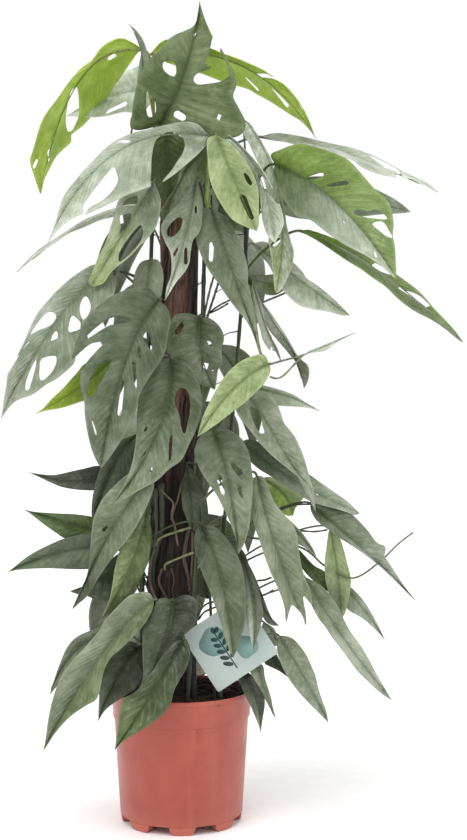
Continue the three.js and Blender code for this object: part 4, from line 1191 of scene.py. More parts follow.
def cut_open(bm, verts, openness):
    """Cuts a flat grid where openness passes through 0 and takes away what is below it."""
    bmesh.ops.triangulate(bm, faces=faces_of(verts))
    level = {vert: openness(vert.co) for vert in verts}
    if min(level.values()) >= 0:
        return verts
    moves = {}
    for edge in {edge for vert in verts for edge in vert.link_edges}:
        a, b = edge.verts
        if (level[a] < 0) == (level[b] < 0):
            continue
        share = level[a] / (level[a] - level[b])
        mover, distance = (a, share) if share < 0.5 else (b, 1 - share)
        if mover not in moves or distance < moves[mover][0]:
            moves[mover] = (distance, a.co.lerp(b.co, share))
    for vert, (_, place) in moves.items():
        vert.co = place
        level[vert] = 0
    lost = [face for face in faces_of(verts) if sum(level[vert] for vert in face.verts) < 0]
    bmesh.ops.delete(bm, geom=lost, context="FACES")
    return [vert for vert in verts if vert.is_valid]


class Foliage:
    """A mesh in the making: blades, their undersides and stalks, with colour and veins as attributes."""

    UPPER, UNDER, STALK = range(3)

    def __init__(self):
        self.bm = bmesh.new()
        self.tint = self.bm.verts.layers.float_color.new("tint")
        self.vein = self.bm.verts.layers.float.new("vein")
        self.across = self.bm.verts.layers.float.new("across")
        self.glow = self.bm.verts.layers.float.new("glow")

    def add_tube(self, tube, tint):
        verts = tube.add(self.bm)
        for vert in verts:
            vert[self.tint] = (*tint, 1)
        for face in faces_of(verts):
            face.material_index = self.STALK
        return verts

    def add_blade(self, blade, tones, cell):
        rows = max(8, round(blade.length / cell))
        columns = 2 * max(4, round(blade.width / 2 / cell))
        verts = bmesh.ops.create_grid(self.bm, x_segments=columns, y_segments=rows, size=1)["verts"]
        verts = cut_open(self.bm, verts, lambda co: blade.openness((co.y + 1) / 2, co.x))
        flat = {vert: ((vert.co.y + 1) / 2, vert.co.x) for vert in verts}
        right = blade.right_side()
        for vert, (u, across) in flat.items():
            vert.co = blade.relief(u, across, blade.point(u, across))
            vert[self.across] = abs(across)
            vert[self.vein] = blade.vein(u, across)
            share = smooth(0.1, 0.9, u)
            tint = tones["base"].lerp(tones["tip"], share)
            if tones["right"]:
                tint = tint.lerp(tones["right"], smooth(-0.04, 0.04, across * right) * 0.75)
            vert[self.tint] = (*tint, tones["streaks"])
            vert[self.glow] = mix(*tones["glow"], share)
        bmesh.ops.remove_doubles(self.bm, verts=verts, dist=0.02 * MM)
        verts = [vert for vert in verts if vert.is_valid]
        faces = faces_of(verts)
        self.thicken(faces, blade.upper)

    def thicken(self, faces, upper):
        """Gives a sheet its underside, on the side away from upper."""
        for face in faces:
            face.normal_update()
        facing = sum((face.normal * face.calc_area() for face in faces), Vector())
        side = -1 if facing.dot(upper) > 0 else 1
        made = bmesh.ops.extrude_face_region(self.bm, geom=faces, use_keep_orig=True)["geom"]
        under = [item for item in made if isinstance(item, bmesh.types.BMFace)]
        lowered = [item for item in made if isinstance(item, bmesh.types.BMVert)]
        for face in under:
            face.normal_update()
        for vert in lowered:
            vert.normal_update()
        for vert in lowered:
            vert.co += vert.normal * (BLADE_THICK * side)
        rest = faces_of(lowered)
        for face in rest:
            face.material_index = self.UNDER
        for face in faces:
            face.material_index = self.UPPER
        bmesh.ops.recalc_face_normals(self.bm, faces=faces + rest)


def blade_of(row):
    name, stem, base, middle, tip, depths, width, roll, *tones = row
    base, middle, tip = (seen(*place, depth) for place, depth in zip((base, middle, tip), depths))
    return Blade(name, stem, base, middle, tip, width, roll, tones)


def back_blade(row, order):
    stem = STEMS[row["stem"]]
    side = 1 if order % 2 else -1
    height = mix(row["low"], row["high"], order / (row["count"] - 1))
    angle = stem["angle"] + side * row["spread"] + 5 * (scatter(order, stem["angle"]) - 0.5)
    length = 126 + 44 * scatter(order, 2 + stem["root"])
    near = 66 + 10 * scatter(order, 5)
    way = Vector((math.cos(math.radians(angle)), math.sin(math.radians(angle)), 0))

    def at(reach, z):
        return (Vector((pole_x(z), 0, z)) + way * reach) * MM

    tone = BACK_TONES[(order + stem["angle"]) % len(BACK_TONES)]
    return Blade(
        "back",
        row["stem"],
        at(near, height),
        at(near + 0.34 * length, height - 0.3 * length),
        at(near + 0.5 * length, height - 0.84 * length),
        0.4 * length,
        math.degrees(math.atan2(-way.x, -way.y)),
        (tone, "mist"),
        (0.36, 0.56) if order % 4 == 2 else (),
    )


def all_blades():
    blades = [blade_of(row) for row in LEAVES]
    for row in BACK_LEAVES:
        blades += [back_blade(row, order) for order in range(row["count"])]
    return blades


# Materials


def blade_finish(name, lightness, saturation, veins):
    """A leaf's skin. Its colour comes with the mesh. Over it go streaks along the side veins, soft clouds, the
    veins themselves, painted shade as a dark line over the midrib, a darker band beside it and in the dips
    along the side veins, and a pale margin that is a painted highlight."""
    finish = Finish(name, specular=0.3)
    tint = finish.attribute("tint", "Color")
    streakiness = finish.attribute("tint", "Alpha")
    inputs = {"Color": tint, "Value": lightness, "Saturation": saturation}
    tint = finish.node("ShaderNodeHueSaturation", inputs=inputs)
    across = finish.attribute("across")
    phase = finish.attribute("vein")
    from_vein = abs(phase.maths("FRACT", phase) - 0.5)
    vein = from_vein.ramp(0.43, 0.5) * across.ramp(0.03, 0.14) * across.ramp(1.0, 0.6)
    # Painted shade in the dips along the side veins, where the quilting sinks
    hollow = from_vein.ramp(0.15, 0.42) * across.ramp(1.0, 0.5)
    # Painted shade: a dark line in the groove over the midrib, and a darker band beside it
    rib = across.ramp(0.045, 0.015)
    rib_side_shade = across.ramp(0.2, 0.04)
    # Painted highlight along the leaf's margin
    margin_highlight = across.ramp(0.86, 0.99)
    place = finish.node("ShaderNodeCombineXYZ", inputs={0: phase * 1.5, 1: across * 2.0})
    streak = finish.node("ShaderNodeTexNoise", inputs={"Vector": place, "Scale": 1.0, "Detail": 4.0})
    inputs = {"Vector": place, "Scale": 3.4, "Detail": 5.0, "Roughness": 0.65}
    fine = finish.node("ShaderNodeTexNoise", inputs=inputs)
    cloud = finish.noise(17, detail=3)
    patch = finish.noise(60, detail=3)
    speckle = finish.noise(900, detail=2)
    light = finish.blend(1.0, tint, (1.75, 1.68, 1.85), "MULTIPLY")
    light = finish.blend(0.12, light, (0.6, 0.64, 0.55))
    dark = finish.blend(1.0, tint, (0.4, 0.48, 0.34), "MULTIPLY")
    layers = [
        (streak.ramp(0.5, 0.7) * streakiness, light),
        (streak.ramp(0.5, 0.3) * streakiness, dark),
        (fine.ramp(0.5, 0.68, 0.0, 0.5), light),
        (fine.ramp(0.5, 0.32, 0.0, 0.5), dark),
        (cloud.ramp(0.52, 0.3, 0.0, 0.6), dark),
        (cloud.ramp(0.5, 0.7, 0.0, 0.55), light),
        (patch.ramp(0.5, 0.72, 0.0, 0.4), light),
        (patch.ramp(0.5, 0.3, 0.0, 0.4), dark),
        # Painted shade in the dips along the side veins
        (hollow * 0.2, dark),
        # Painted shade along the midrib and in its groove
        (rib_side_shade * 0.35, dark),
        (vein * veins, light),
        (rib * 0.7, dark),
        # Painted highlight at the margin
        (margin_highlight * 0.35, light),
        (speckle.ramp(0.52, 0.75, 0.0, 0.3), light),
    ]
    tone = tint
    for share, over in layers:
        tone = finish.blend(share, tone, over)
    finish.set("Base Color", tone)
    finish.set("Roughness", cloud.ramp(0.3, 0.7, 0.36, 0.52))
    height = streak * 0.8 + fine * 0.5 + patch * 1.2 - hollow * 0.5 + speckle * 0.1
    finish.bump(height, 0.9 * MM, 0.6)
    glow = finish.attribute("glow")
    through_light = finish.node("ShaderNodeBsdfTranslucent", inputs={"Color": (0.5, 0.68, 0.1)})
    shader = Value(finish, finish.shader.outputs[0])
    both = finish.node("ShaderNodeMixShader", inputs={0: glow, 1: shader, 2: through_light})
    finish.tree.links.new(both.socket, finish.output.inputs["Surface"])
    return finish


def stalk_finish():
    finish = Finish("stalk_skin")
    tint = finish.attribute("tint", "Color")
    streak = finish.noise(420, stretch=(1, 1, 0.12))
    fleck = finish.noise(1400)
    tone = finish.blend(streak.ramp(0.35, 0.7, 0.0, 0.6), tint, (0.02, 0.03, 0.012))
    tone = finish.blend(fleck.ramp(0.6, 0.75, 0.0, 0.4), tone, (0.3, 0.32, 0.2))
    finish.set("Base Color", tone)
    finish.set("Roughness", streak.ramp(0.3, 0.7, 0.4, 0.62))
    finish.bump(streak, 0.4 * MM, 0.6)
    return finish


def plastic_finish(settings):
    finish = Finish("terracotta_plastic", specular=0.42)
    streak = finish.noise(30, stretch=(1, 1, 0.06), detail=3)
    ring = finish.noise(16, stretch=(0.1, 0.1, 14), detail=2)
    mottle = finish.noise(40, detail=5)
    grain = finish.noise(1500, detail=2)
    height = finish.node("ShaderNodeSeparateXYZ", inputs={0: finish.coordinates()}, output=2)
    tone = finish.blend(mottle.ramp(0.3, 0.7, 0.0, 0.6), tuple(settings.plastic), tuple(settings.shade))
    tone = finish.blend(streak.ramp(0.5, 0.75, 0.0, 0.3), tone, linear(206, 122, 102))
    tone = finish.blend(ring.ramp(0.55, 0.75, 0.0, 0.2), tone, tuple(settings.shade))
    # Painted light: the lowest 30 mm of the pot turns paler, as if lit by the white floor
    tone = finish.blend(height.ramp(0.03, 0.0, 0.0, 0.25), tone, linear(200, 128, 108))
    finish.set("Base Color", tone)
    finish.set("Roughness", mottle.ramp(0.3, 0.7, 0.3, 0.4))
    finish.bump(grain * 0.3 + streak + ring * 0.5, 0.25 * MM, 0.35)
    return finish


def soil_finish(settings):
    finish = Finish("peat_and_bark", roughness=0.92, specular=0.2)
    crumb = finish.noise(700, detail=5, roughness=0.7)
    patch = finish.noise(90)
    shade = finish.attribute("shade")
    tone = finish.blend(crumb.ramp(0.42, 0.75), tuple(settings.dark), tuple(settings.light))
    tone = finish.blend(patch.ramp(0.35, 0.7, 0.0, 0.6), tone, tuple(settings.dark))
    tone = finish.blend(shade, tone, tuple(settings.light))
    finish.set("Base Color", tone)
    finish.bump(crumb, 1.6 * MM, 0.8)
    return finish


def bark_finish(settings):
    """Red-brown bark that is darker lower down, with painted shade in its grooves and down its right side."""
    finish = Finish("pole_bark", specular=0.3)
    relief = finish.attribute("relief")
    fibre = finish.noise(420, detail=6, roughness=0.7, stretch=(1, 1, 0.16))
    patch = finish.noise(38, detail=6, roughness=0.65, stretch=(1, 1, 0.6))
    height = finish.node("ShaderNodeSeparateXYZ", inputs={0: finish.coordinates()}, output=2)
    # Darker lower down: the strands turn to the lower bark colour between 0.56 and 0.42 m
    upper_share = (height + patch * 0.1).ramp(0.42, 0.56)
    strand = finish.blend(upper_share, tuple(settings.lower_bark), tuple(settings.strand))
    # Painted shade in the grooves: where the wall lies lowest the bark takes the near-black groove colour
    tone = finish.blend(relief.ramp(0.25, 0.8), tuple(settings.groove), strand)
    tone = finish.blend(fibre.ramp(0.45, 0.7, 0.0, 0.5), tone, tuple(settings.groove))
    tone = finish.blend(patch.ramp(0.5, 0.3, 0.0, 0.7), tone, tuple(settings.groove))
    tone = finish.blend(patch.ramp(0.58, 0.75, 0.0, 0.4), tone, linear(150, 116, 100))
    # Painted shadow: the bark right of the axis turns towards the groove colour, as the side in the plant's
    # shade
    aside = finish.node("ShaderNodeSeparateXYZ", inputs={0: finish.coordinates()}, output=0)
    shadow = (aside + patch * 0.02).ramp(0.008, 0.024, 0.0, 0.75)
    tone = finish.blend(shadow, tone, tuple(settings.groove))
    finish.set("Base Color", tone)
    finish.set("Roughness", fibre.ramp(0.3, 0.7, 0.6, 0.85))
    finish.bump(fibre * 0.6 + patch, 1.8 * MM, 0.8)
    return finish


def plain_finish(name, tone, roughness, grain=1200, depth=0.1):
    finish = Finish(name)
    speck = finish.noise(grain)
    lighter = tuple(min(1, value * 1.12 + 0.01) for value in tone)
    finish.set("Base Color", finish.blend(speck.ramp(0.35, 0.7), tuple(tone), lighter))
    finish.set("Roughness", speck.ramp(0.3, 0.7, roughness * 0.9, roughness * 1.1))
    finish.bump(speck, depth * MM, 0.4)
    return finish


# The pieces, one operator each


class AROID_OT_pot(bpy.types.Operator):
    """Turns the pot's wall, rim band and floor, and the feet round its underside"""

    bl_idname = "aroid.pot"
    bl_label = "Pot"

    def execute(self, context):
        settings = context.scene.aroid_pot
        bm = bmesh.new()
        self.turn(bm, self.wall(settings), settings.sides)
        self.add_feet(bm, settings)
        self.add_marks(bm)
        finish_piece("nursery_pot", bm, [plastic_finish(settings)], "pot", math.radians(38))
        return {"FINISHED"}

    def wall(self, settings):
        """The wall's section, from the middle of the floor out, up, over the lip and back, in millimetres."""
        rim, height, base = (value / MM for value in (settings.rim, settings.height, settings.base))
        return [
            (0, 9.9), (base - 2, 9.9), (base - 0.6, 10.1), (base, 10.8), (80.3, 123.4), (80.6, 124.2),
            (81.6, 124.8), (82.0, 125.4), (83.4, height - 6.2), (83.7, height - 5.6), (84.6, height - 5.2),
            (rim, height - 4.6), (rim, height - 1.0), (rim - 0.4, height - 0.2), (rim - 1.2, height),
            (82.6, height), (82.1, height - 0.4), (81.9, height - 1.2), (77.9, 124), (base - 2.3, 12.2),
            (0, 12.2),
        ]

    def turn(self, bm, section, steps):
        """Spins a section round the pot's axis."""
        verts = [bm.verts.new(Vector((radius, 0, z)) * MM) for radius, z in section]
        edges = [bm.edges.new(pair) for pair in zip(verts, verts[1:])]
        bmesh.ops.spin(
            bm, geom=verts + edges, angle=2 * math.pi, steps=steps, axis=(0, 0, 1), cent=(0, 0, 0),
            use_merge=True, use_duplicate=False,
        )
        bmesh.ops.remove_doubles(bm, verts=bm.verts, dist=1e-6)
        bmesh.ops.recalc_face_normals(bm, faces=bm.faces)

    def add_feet(self, bm, settings):
        """Tongues with rounded lower edges that carry the wall down, and the flat pad in the middle."""
        base = settings.base / MM
        share = math.radians(360 / settings.feet)
        for order in range(settings.feet):
            middle = FIRST_FOOT + share * order
            wrap_grid(bm, 32, 26, lambda s, t: self.foot(base, middle, s, t), closed=True)
        bmesh.ops.recalc_face_normals(bm, faces=bm.faces)
        pad = bmesh.new()
        self.turn(pad, [(0, 10.4), (21, 10.4), (20.2, 0.3), (19.6, 0), (0, 0)], 48)
        self.join(bm, pad)

    def foot(self, base, middle, s, t):
        """A foot's wall: s goes round its section, and t from side to side, where it draws up to nothing."""
        aside = 2 * t - 1
        low = FOOT_TOP * (1 - (1 - abs(aside) ** 5) ** 0.5)
        turned = 2 * math.pi * s
        out = math.copysign(abs(math.cos(turned)) ** 0.3, math.cos(turned))
        up = math.copysign(abs(math.sin(turned)) ** 0.3, math.sin(turned))
        z = mix(low, FOOT_TOP, (up + 1) / 2)
        radius = mix(60, base - 2 + 0.16 * z, (out + 1) / 2)
        angle = middle + FOOT_WIDTH / 2 * aside
        return Vector((radius * math.cos(angle), radius * math.sin(angle), z)) * MM

    def add_marks(self, bm):
        """The upright moulding lines on both sides of the rim band."""
        for angle in (-74, 106):
            part = bmesh.new()
            bmesh.ops.create_cube(part, size=1)
            size = Matrix.Diagonal((0.8 * MM, 0.8 * MM, 22 * MM, 1))
            place = Matrix.Translation(Vector((81.7, 0, 119)) * MM)
            turned = Matrix.Rotation(math.radians(angle), 4, "Z")
            bmesh.ops.transform(part, matrix=turned @ place @ size, verts=part.verts)
            self.join(bm, part)

    def join(self, bm, part):
        mesh = bpy.data.meshes.new("part")
        part.to_mesh(mesh)
        part.free()
        bm.from_mesh(mesh)
        bpy.data.meshes.remove(mesh)


class AROID_OT_soil(bpy.types.Operator):
    """Fills the pot with peat that is lumpy on top, and strews bark chips over it"""

    bl_idname = "aroid.soil"
    bl_label = "Soil"

    # The filling inside the wall, in metres: its radius at the floor and at the top, and its lower face
    FLOOR_RADIUS = 0.0705
    RADIUS = 0.0794
    FLOOR = 0.0124
    SHOULDER = 0.14

    def execute(self, context):
        settings = context.scene.aroid_soil
        bm = bmesh.new()
        shade = bm.verts.layers.float.new("shade")
        wrap_grid(bm, 96, 44, lambda s, t: self.body(settings, s, t), closed=True)
        bmesh.ops.recalc_face_normals(bm, faces=bm.faces)
        draw = random.Random(11)
        for order in range(settings.chips):
            self.add_chip(bm, settings, draw, shade, order)
        finish_piece("potting_soil", bm, [soil_finish(settings)], "soil")
        return {"FINISHED"}

    def surface(self, settings, radius, angle):
        place = Vector((radius * math.cos(angle), radius * math.sin(angle), 0))
        lump = noise.fractal(place * 60, 1.0, 2.0, 4) * 2.6 * MM
        heap = 4 * MM * smooth(0.02, 0.07, place.y)
        level = mix(settings.top, settings.edge, (radius / 0.079) ** 2)
        return level + heap + lump * smooth(0.0798, 0.074, radius)

    def body(self, settings, s, t):
        angle = 2 * math.pi * s
        if t < 0.2:
            radius = mix(0, self.FLOOR_RADIUS, t / 0.2)
            height = self.FLOOR
        elif t < 0.4:
            radius = mix(self.FLOOR_RADIUS, self.RADIUS, (t - 0.2) / 0.2)
            height = mix(self.FLOOR, self.SHOULDER, (t - 0.2) / 0.2)
        else:
            radius = self.RADIUS * (1 - (t - 0.4) / 0.6)
            height = self.surface(settings, radius, angle)
        return Vector((radius * math.cos(angle), radius * math.sin(angle), height))

    def add_chip(self, bm, settings, draw, shade, order):
        radius = 0.0785 * math.sqrt(draw.uniform(0.05, 1))
        angle = draw.uniform(0, 2 * math.pi)
        size = draw.uniform(1.2, 3.6) * MM * (1.6 if order % 9 == 0 else 1)
        verts = bmesh.ops.create_icosphere(bm, subdivisions=1, radius=1)["verts"]
        shape = Matrix.Diagonal((size * draw.uniform(1, 2.4), size, size * draw.uniform(0.35, 0.8), 1))
        turn = Matrix.Rotation(draw.uniform(0, 6.28), 4, "Z")
        turn = turn @ Matrix.Rotation(draw.uniform(-0.6, 0.6), 4, "X")
        height = self.surface(settings, radius, angle) + 0.2 * size
        place = Matrix.Translation((radius * math.cos(angle), radius * math.sin(angle), height))
        bmesh.ops.transform(bm, matrix=place @ turn @ shape, verts=verts)
        tone = draw.uniform(0, 0.75) ** 2
        for vert in verts:
            vert.co += Vector([draw.uniform(-0.12, 0.12) * size for _ in range(3)])
            vert[shade] = tone


class AROID_OT_pole(bpy.types.Operator):
    """Builds the pole from twisted strands of bark, with loose fibres wound round it"""

    bl_idname = "aroid.pole"
    bl_label = "Bark pole"

    STRANDS = 3
    TWIST = 1.1 * math.pi

    def execute(self, context):
        settings = context.scene.aroid_pole
        bm = bmesh.new()
        self.layer = bm.verts.layers.float.new("relief")
        self.settings = settings
        verts = wrap_grid(bm, 120, 420, self.wall, closed=True)
        bmesh.ops.recalc_face_normals(bm, faces=faces_of(verts))
        for vert in verts:
            axis = Vector((pole_x(vert.co.z / MM) * MM, 0, vert.co.z))
            vert[self.layer] = clamp(((vert.co - axis).length / self.plain(vert.co.z) - 0.72) / 0.36)
        draw = random.Random(5)
        for _ in range(settings.fibres):
            self.add_fibre(bm, draw)
        finish_piece("bark_pole", bm, [bark_finish(settings)], "pole")
        return {"FINISHED"}

    def plain(self, z):
        settings = self.settings
        rise = (z - settings.foot) / (settings.top - settings.foot)
        return mix(settings.radius, settings.head, rise)

    def reach(self, angle, z):
        """The wall's distance from the pole's axis: strands, finer cords on them, and shreds of bark."""
        rise = (z - self.settings.foot) / (self.settings.top - self.settings.foot)
        turned = angle - self.TWIST * rise
        strand = abs(math.cos(self.STRANDS / 2 * turned))
        wander = noise.noise(Vector((math.cos(angle) * 1.2, math.sin(angle) * 1.2, z * 9))) * 0.9
        cords = abs(math.sin(9.5 * (turned * 0.6 + angle * 0.4) + wander * 2.4))
        shreds = noise.fractal(Vector((math.cos(angle) * 7, math.sin(angle) * 7, z * 26)), 0.9, 2.1, 4)
        swell = 1 + 0.05 * math.sin(z / MM / 38)
        rough = mix(1.0, 0.45, smooth(0.42, 0.56, z))
        relief = 0.78 + 0.19 * strand**0.5 + (0.07 * cords + 0.07 * shreds) * rough
        return self.plain(z) * swell * relief

    def wall(self, s, t):
        """A closed wall: its first and last rows draw in to the axis."""
        angle = 2 * math.pi * s
        share = clamp((t - 0.01) / 0.98)
        z = mix(self.settings.foot, self.settings.top, share)
        reach = self.reach(angle, z) * smooth(0, 0.01, t) * smooth(1, 0.99, t)
        return Vector((pole_x(z / MM) * MM + reach * math.cos(angle), reach * math.sin(angle), z))

    def add_fibre(self, bm, draw):
        low = draw.uniform(0.155, 0.68)
        high = min(0.785, low + draw.uniform(0.05, 0.2))
        start = draw.uniform(0, 2 * math.pi)
        turn = draw.uniform(-0.9, 1.3)
        thick = draw.uniform(0.5, 1.3) * MM
        wobble = draw.uniform(0, 6)

        def curve(t):
            z = mix(low, high, t)
            angle = start + turn * t + 0.12 * math.sin(9 * t + wobble)
            lift = 0.4 * thick + 1.2 * MM * max(0, math.sin(7 * t + wobble))
            reach = self.reach(angle, z) + lift
            return Vector((pole_x(z / MM) * MM + reach * math.cos(angle), reach * math.sin(angle), z))

        verts = Tube(curve, lambda t: thick * (1 - 0.6 * abs(2 * t - 1) ** 3), 26, 6).add(bm)
        for vert in verts:
            vert[self.layer] = draw.uniform(0.5, 1)


class AROID_OT_leafy_stems(bpy.types.Operator):
    """Grows every stem with its stalks and blades"""

    bl_idname = "aroid.leafy_stems"
    bl_label = "Leafy stems"

    # The long thin shoot at the right, as places seen and their depths, and how high it leaves its stem
    SHOOT = [
        (138, 327, -26), (172, 303, -34), (205, 288, -38), (236, 306, -40), (260, 329, -42), (278, 343, -42),
    ]
    SHOOT_ROOT = 342
    # How much light comes through leaves of these tones
    GLOW = {"lime": 0.42, "green": 0.28, "pale": 0.12, "moss": 0.08}

    def execute(self, context):
        self.settings = context.scene.aroid_leaf
        finishes = [
            blade_finish("leaf_upper", 0.9, 1.08, 0.3),
            blade_finish("leaf_underside", 1.0, 0.95, 0.45),
            stalk_finish(),
        ]
        blades = all_blades()
        for name, stem in STEMS.items():
            foliage = Foliage()
            self.add_stem(foliage, stem)
            for order, blade in enumerate(blades):
                if blade.stem_name == name:
                    self.add_leaf(foliage, blade, order)
            for stem_name, radius, tone, depth, end_depth, places in TENDRILS:
                if stem_name == name:
                    self.add_tendril(foliage, radius * MM, tone, depth, end_depth, spots(places))
            if name == "outer":
                self.add_shoot(foliage)
            node = f"leafy_stem_{name}"
            finish_piece(f"{node}_leaves", foliage.bm, finishes, node)
        return {"FINISHED"}

    def add_stem(self, foliage, stem):
        """The stem's joints are a little thicker, and thin roots cling from them to the pole."""
        top = stem["top"]
        radius = stem["radius"] * MM
        length = top - STEM_FOOT

        def thick(t):
            knot = max(0, math.cos(2 * math.pi * length * t / JOINT_GAP)) ** 6
            return radius * (0.92 + 0.22 * knot) * mix(1, 0.75, t)

        steps = round(length / 9)
        tube = Tube(lambda t: stem_point(stem, mix(STEM_FOOT, top, t)), thick, steps, 10)
        verts = foliage.add_tube(tube, self.settings.stalk)
        # Towards the soil the stem turns near black: painted shade under the lowest leaves
        low, high = (Vector(getattr(self.settings, tone)) for tone in ("black", "stalk"))
        for vert in verts:
            vert[foliage.tint] = (*low.lerp(high, smooth(0.17, 0.3, vert.co.z)), 1)
        for order in range(int(length / JOINT_GAP)):
            self.add_root(foliage, stem, STEM_FOOT + JOINT_GAP * (order + 1), order)

    def add_root(self, foliage, stem, height, order):
        start = stem_point(stem, height)
        axis = Vector((pole_x(height), 0, height)) * MM
        inward = (axis - start) * 0.42
        drop = Vector((0, 0, -(6 + 12 * scatter(order, 2)) * MM))
        curve = through([start, start + inward * 0.5 + drop * 0.2, start + inward + drop])
        foliage.add_tube(Tube(curve, lambda t: 0.8 * MM * (1 - 0.5 * t), 6, 6), linear(84, 60, 42))

    def add_leaf(self, foliage, blade, order):
        base, tip = (Vector(getattr(self.settings, tone)) for tone in blade.tones)
        right = RIGHT_HALVES.get(blade.name)
        look = {
            "base": base,
            "tip": tip,
            "right": Vector(getattr(self.settings, right)) if right else None,
            "streaks": STREAKED.get(blade.name, 0.3 + 0.3 * scatter(order, 3)),
            "glow": [self.GLOW.get(tone, 0.04) for tone in blade.tones],
        }
        fine = blade.gaps or blade.slots or blade.flat_slots
        foliage.add_blade(blade, look, self.settings.cell if fine else self.settings.coarse_cell)
        self.add_stalk(foliage, blade, base)

    def add_stalk(self, foliage, blade, tone):
        """The stalk runs on under the blade as its midrib."""
        stalk = blade.stalk()
        thick = (1.6 if blade.whole_width > 60 else 1.2) * MM
        reach = 0.45

        def curve(t):
            if t < reach:
                return stalk(t / reach)
            u = (t - reach) / (1 - reach) * 0.9
            below = self.settings.groove + thick * 0.5
            return blade.rib(u) - blade.facing(blade.along(u)) * (below * smooth(0, 0.06, u))

        def radius(t):
            return thick * (1 if t < reach else mix(0.8, 0.22, (t - reach) / (1 - reach)))

        tint = tone.lerp(Vector(self.settings.stalk), 0.6)
        foliage.add_tube(Tube(curve, radius, 34, 8), tint)

    def add_tendril(self, foliage, radius, tone, depth, end_depth, places):
        last = len(places) - 1
        depths = [mix(depth, end_depth, order / last) * MM for order in range(last + 1)]
        curve = through([at_depth(place, depth) for place, depth in zip(places, depths)])
        wobble = 9 + 40 * scatter(places[0].x / MM, 1)
        tube = Tube(curve, lambda t: radius * (1 + 0.12 * math.sin(wobble * t)), 8 * last, 8)
        foliage.add_tube(tube, getattr(self.settings, tone))

    def add_shoot(self, foliage):
        root = stem_point(STEMS["outer"], self.SHOOT_ROOT)
        curve = through([root, *(seen(*place) for place in self.SHOOT)])
        foliage.add_tube(Tube(curve, lambda t: 1.5 * MM * (1 - 0.35 * t), 40, 8), self.settings.moss)


class AROID_OT_tag(bpy.types.Operator):
    """Makes the square card with its printed wash and sprig, on a stake"""

    bl_idname = "aroid.tag"
    bl_label = "Tag"

    CENTRE = (58, 209, -54)
    STAKE_FOOT = 100

    def execute(self, context):
        settings = context.scene.aroid_tag
        centre = seen(*self.CENTRE)
        self.place = Matrix.Translation(centre) @ Matrix.Rotation(-settings.turn, 4, "Y")
        bm = bmesh.new()
        self.add_card(bm, settings)
        finish = plain_finish("mint_card", settings.card, 0.45)
        finish_piece("tag_card", bm, [finish], "tag", math.radians(40))
        stake = bmesh.new()
        self.add_stake(stake, centre)
        finish_piece("tag_stake", stake, [plain_finish("dark_stake", settings.stake, 0.5)], "tag")
        wash = bmesh.new()
        for x, z, radius in ((-14, 12, 17), (15, -13, 13)):
            self.add_disc(wash, x, z, radius, 40)
        wash_finish = plain_finish("teal_wash", settings.wash, 0.5)
        finish_piece("tag_wash", wash, [wash_finish])
        ink = bmesh.new()
        self.add_sprig(ink)
        finish_piece("tag_sprig", ink, [plain_finish("green_ink", settings.ink, 0.5)])
        return {"FINISHED"}

    def add_card(self, bm, settings):
        verts = bmesh.ops.create_cube(bm, size=1)["verts"]
        size = Matrix.Diagonal((settings.height, 0.9 * MM, settings.width, 1))
        bmesh.ops.transform(bm, matrix=size, verts=verts)
        corners = [edge for edge in bm.edges if abs(edge.verts[0].co.y - edge.verts[1].co.y) > 0.5 * MM]
        bmesh.ops.bevel(
            bm, geom=corners, offset=2.4 * MM, segments=5, profile=0.5, affect="EDGES", material=-1,
            clamp_overlap=True,
        )
        bmesh.ops.transform(bm, matrix=self.place, verts=bm.verts)

    def add_stake(self, bm, centre):
        top = centre.z + 10 * MM
        low = self.STAKE_FOOT * MM
        verts = bmesh.ops.create_cube(bm, size=1)["verts"]
        size = Matrix.Diagonal((5 * MM, 1.6 * MM, top - low, 1))
        place = Matrix.Translation((centre.x - 11 * MM, centre.y + 1.0 * MM, (top + low) / 2))
        bmesh.ops.transform(bm, matrix=place @ size, verts=verts)

    def add_disc(self, bm, x, z, radius, sides):
        made = bmesh.ops.create_circle(bm, cap_ends=True, segments=sides, radius=radius * MM)["verts"]
        for vert in made:
            angle = math.atan2(vert.co.y, vert.co.x)
            swell = 1 + 0.06 * math.sin(3 * angle + x) + 0.03 * math.sin(5 * angle)
            vert.co = Vector((x * MM + vert.co.x * swell, -0.52 * MM, z * MM + vert.co.y * swell))
        self.raise_print(bm, made, 0.1)

    def add_sprig(self, bm):
        """Eleven small leaves in pairs up a stalk."""
        for order in range(11):
            pair = (order + 1) // 2
            side = 0 if order == 10 else (1 if order % 2 else -1)
            rise = -22 + 8.4 * min(pair, 5)
            lean = math.radians(90 - 52 * side)
            made = bmesh.ops.create_circle(bm, cap_ends=True, segments=18, radius=1)["verts"]
            for vert in made:
                along = (vert.co.x + 1) * (6.2 - 0.5 * pair)
                out = vert.co.y * 2.5
                x = -8 + 1.2 * side + math.cos(lean) * along - math.sin(lean) * out
                z = rise + math.sin(lean) * along + math.cos(lean) * out
                vert.co = Vector((x * MM, -0.68 * MM, z * MM))
            self.raise_print(bm, made, 0.1)
        made = bmesh.ops.create_cube(bm, size=1)["verts"]
        size = Matrix.Diagonal((1.4 * MM, 0.12 * MM, 48 * MM, 1))
        middle = Matrix.Translation(Vector((-8, -0.68, -4)) * MM)
        bmesh.ops.transform(bm, matrix=self.place @ middle @ size, verts=made)

    def raise_print(self, bm, verts, thick):
        faces = faces_of(verts)
        bmesh.ops.transform(bm, matrix=self.place, verts=verts)
        made = bmesh.ops.extrude_face_region(bm, geom=faces, use_keep_orig=True)
        lifted = [item for item in made["geom"] if isinstance(item, bmesh.types.BMVert)]
        outward = self.place.to_3x3() @ Vector((0, -thick * MM, 0))
        bmesh.ops.translate(bm, vec=outward, verts=lifted)
        bmesh.ops.recalc_face_normals(bm, faces=faces_of(verts + lifted))


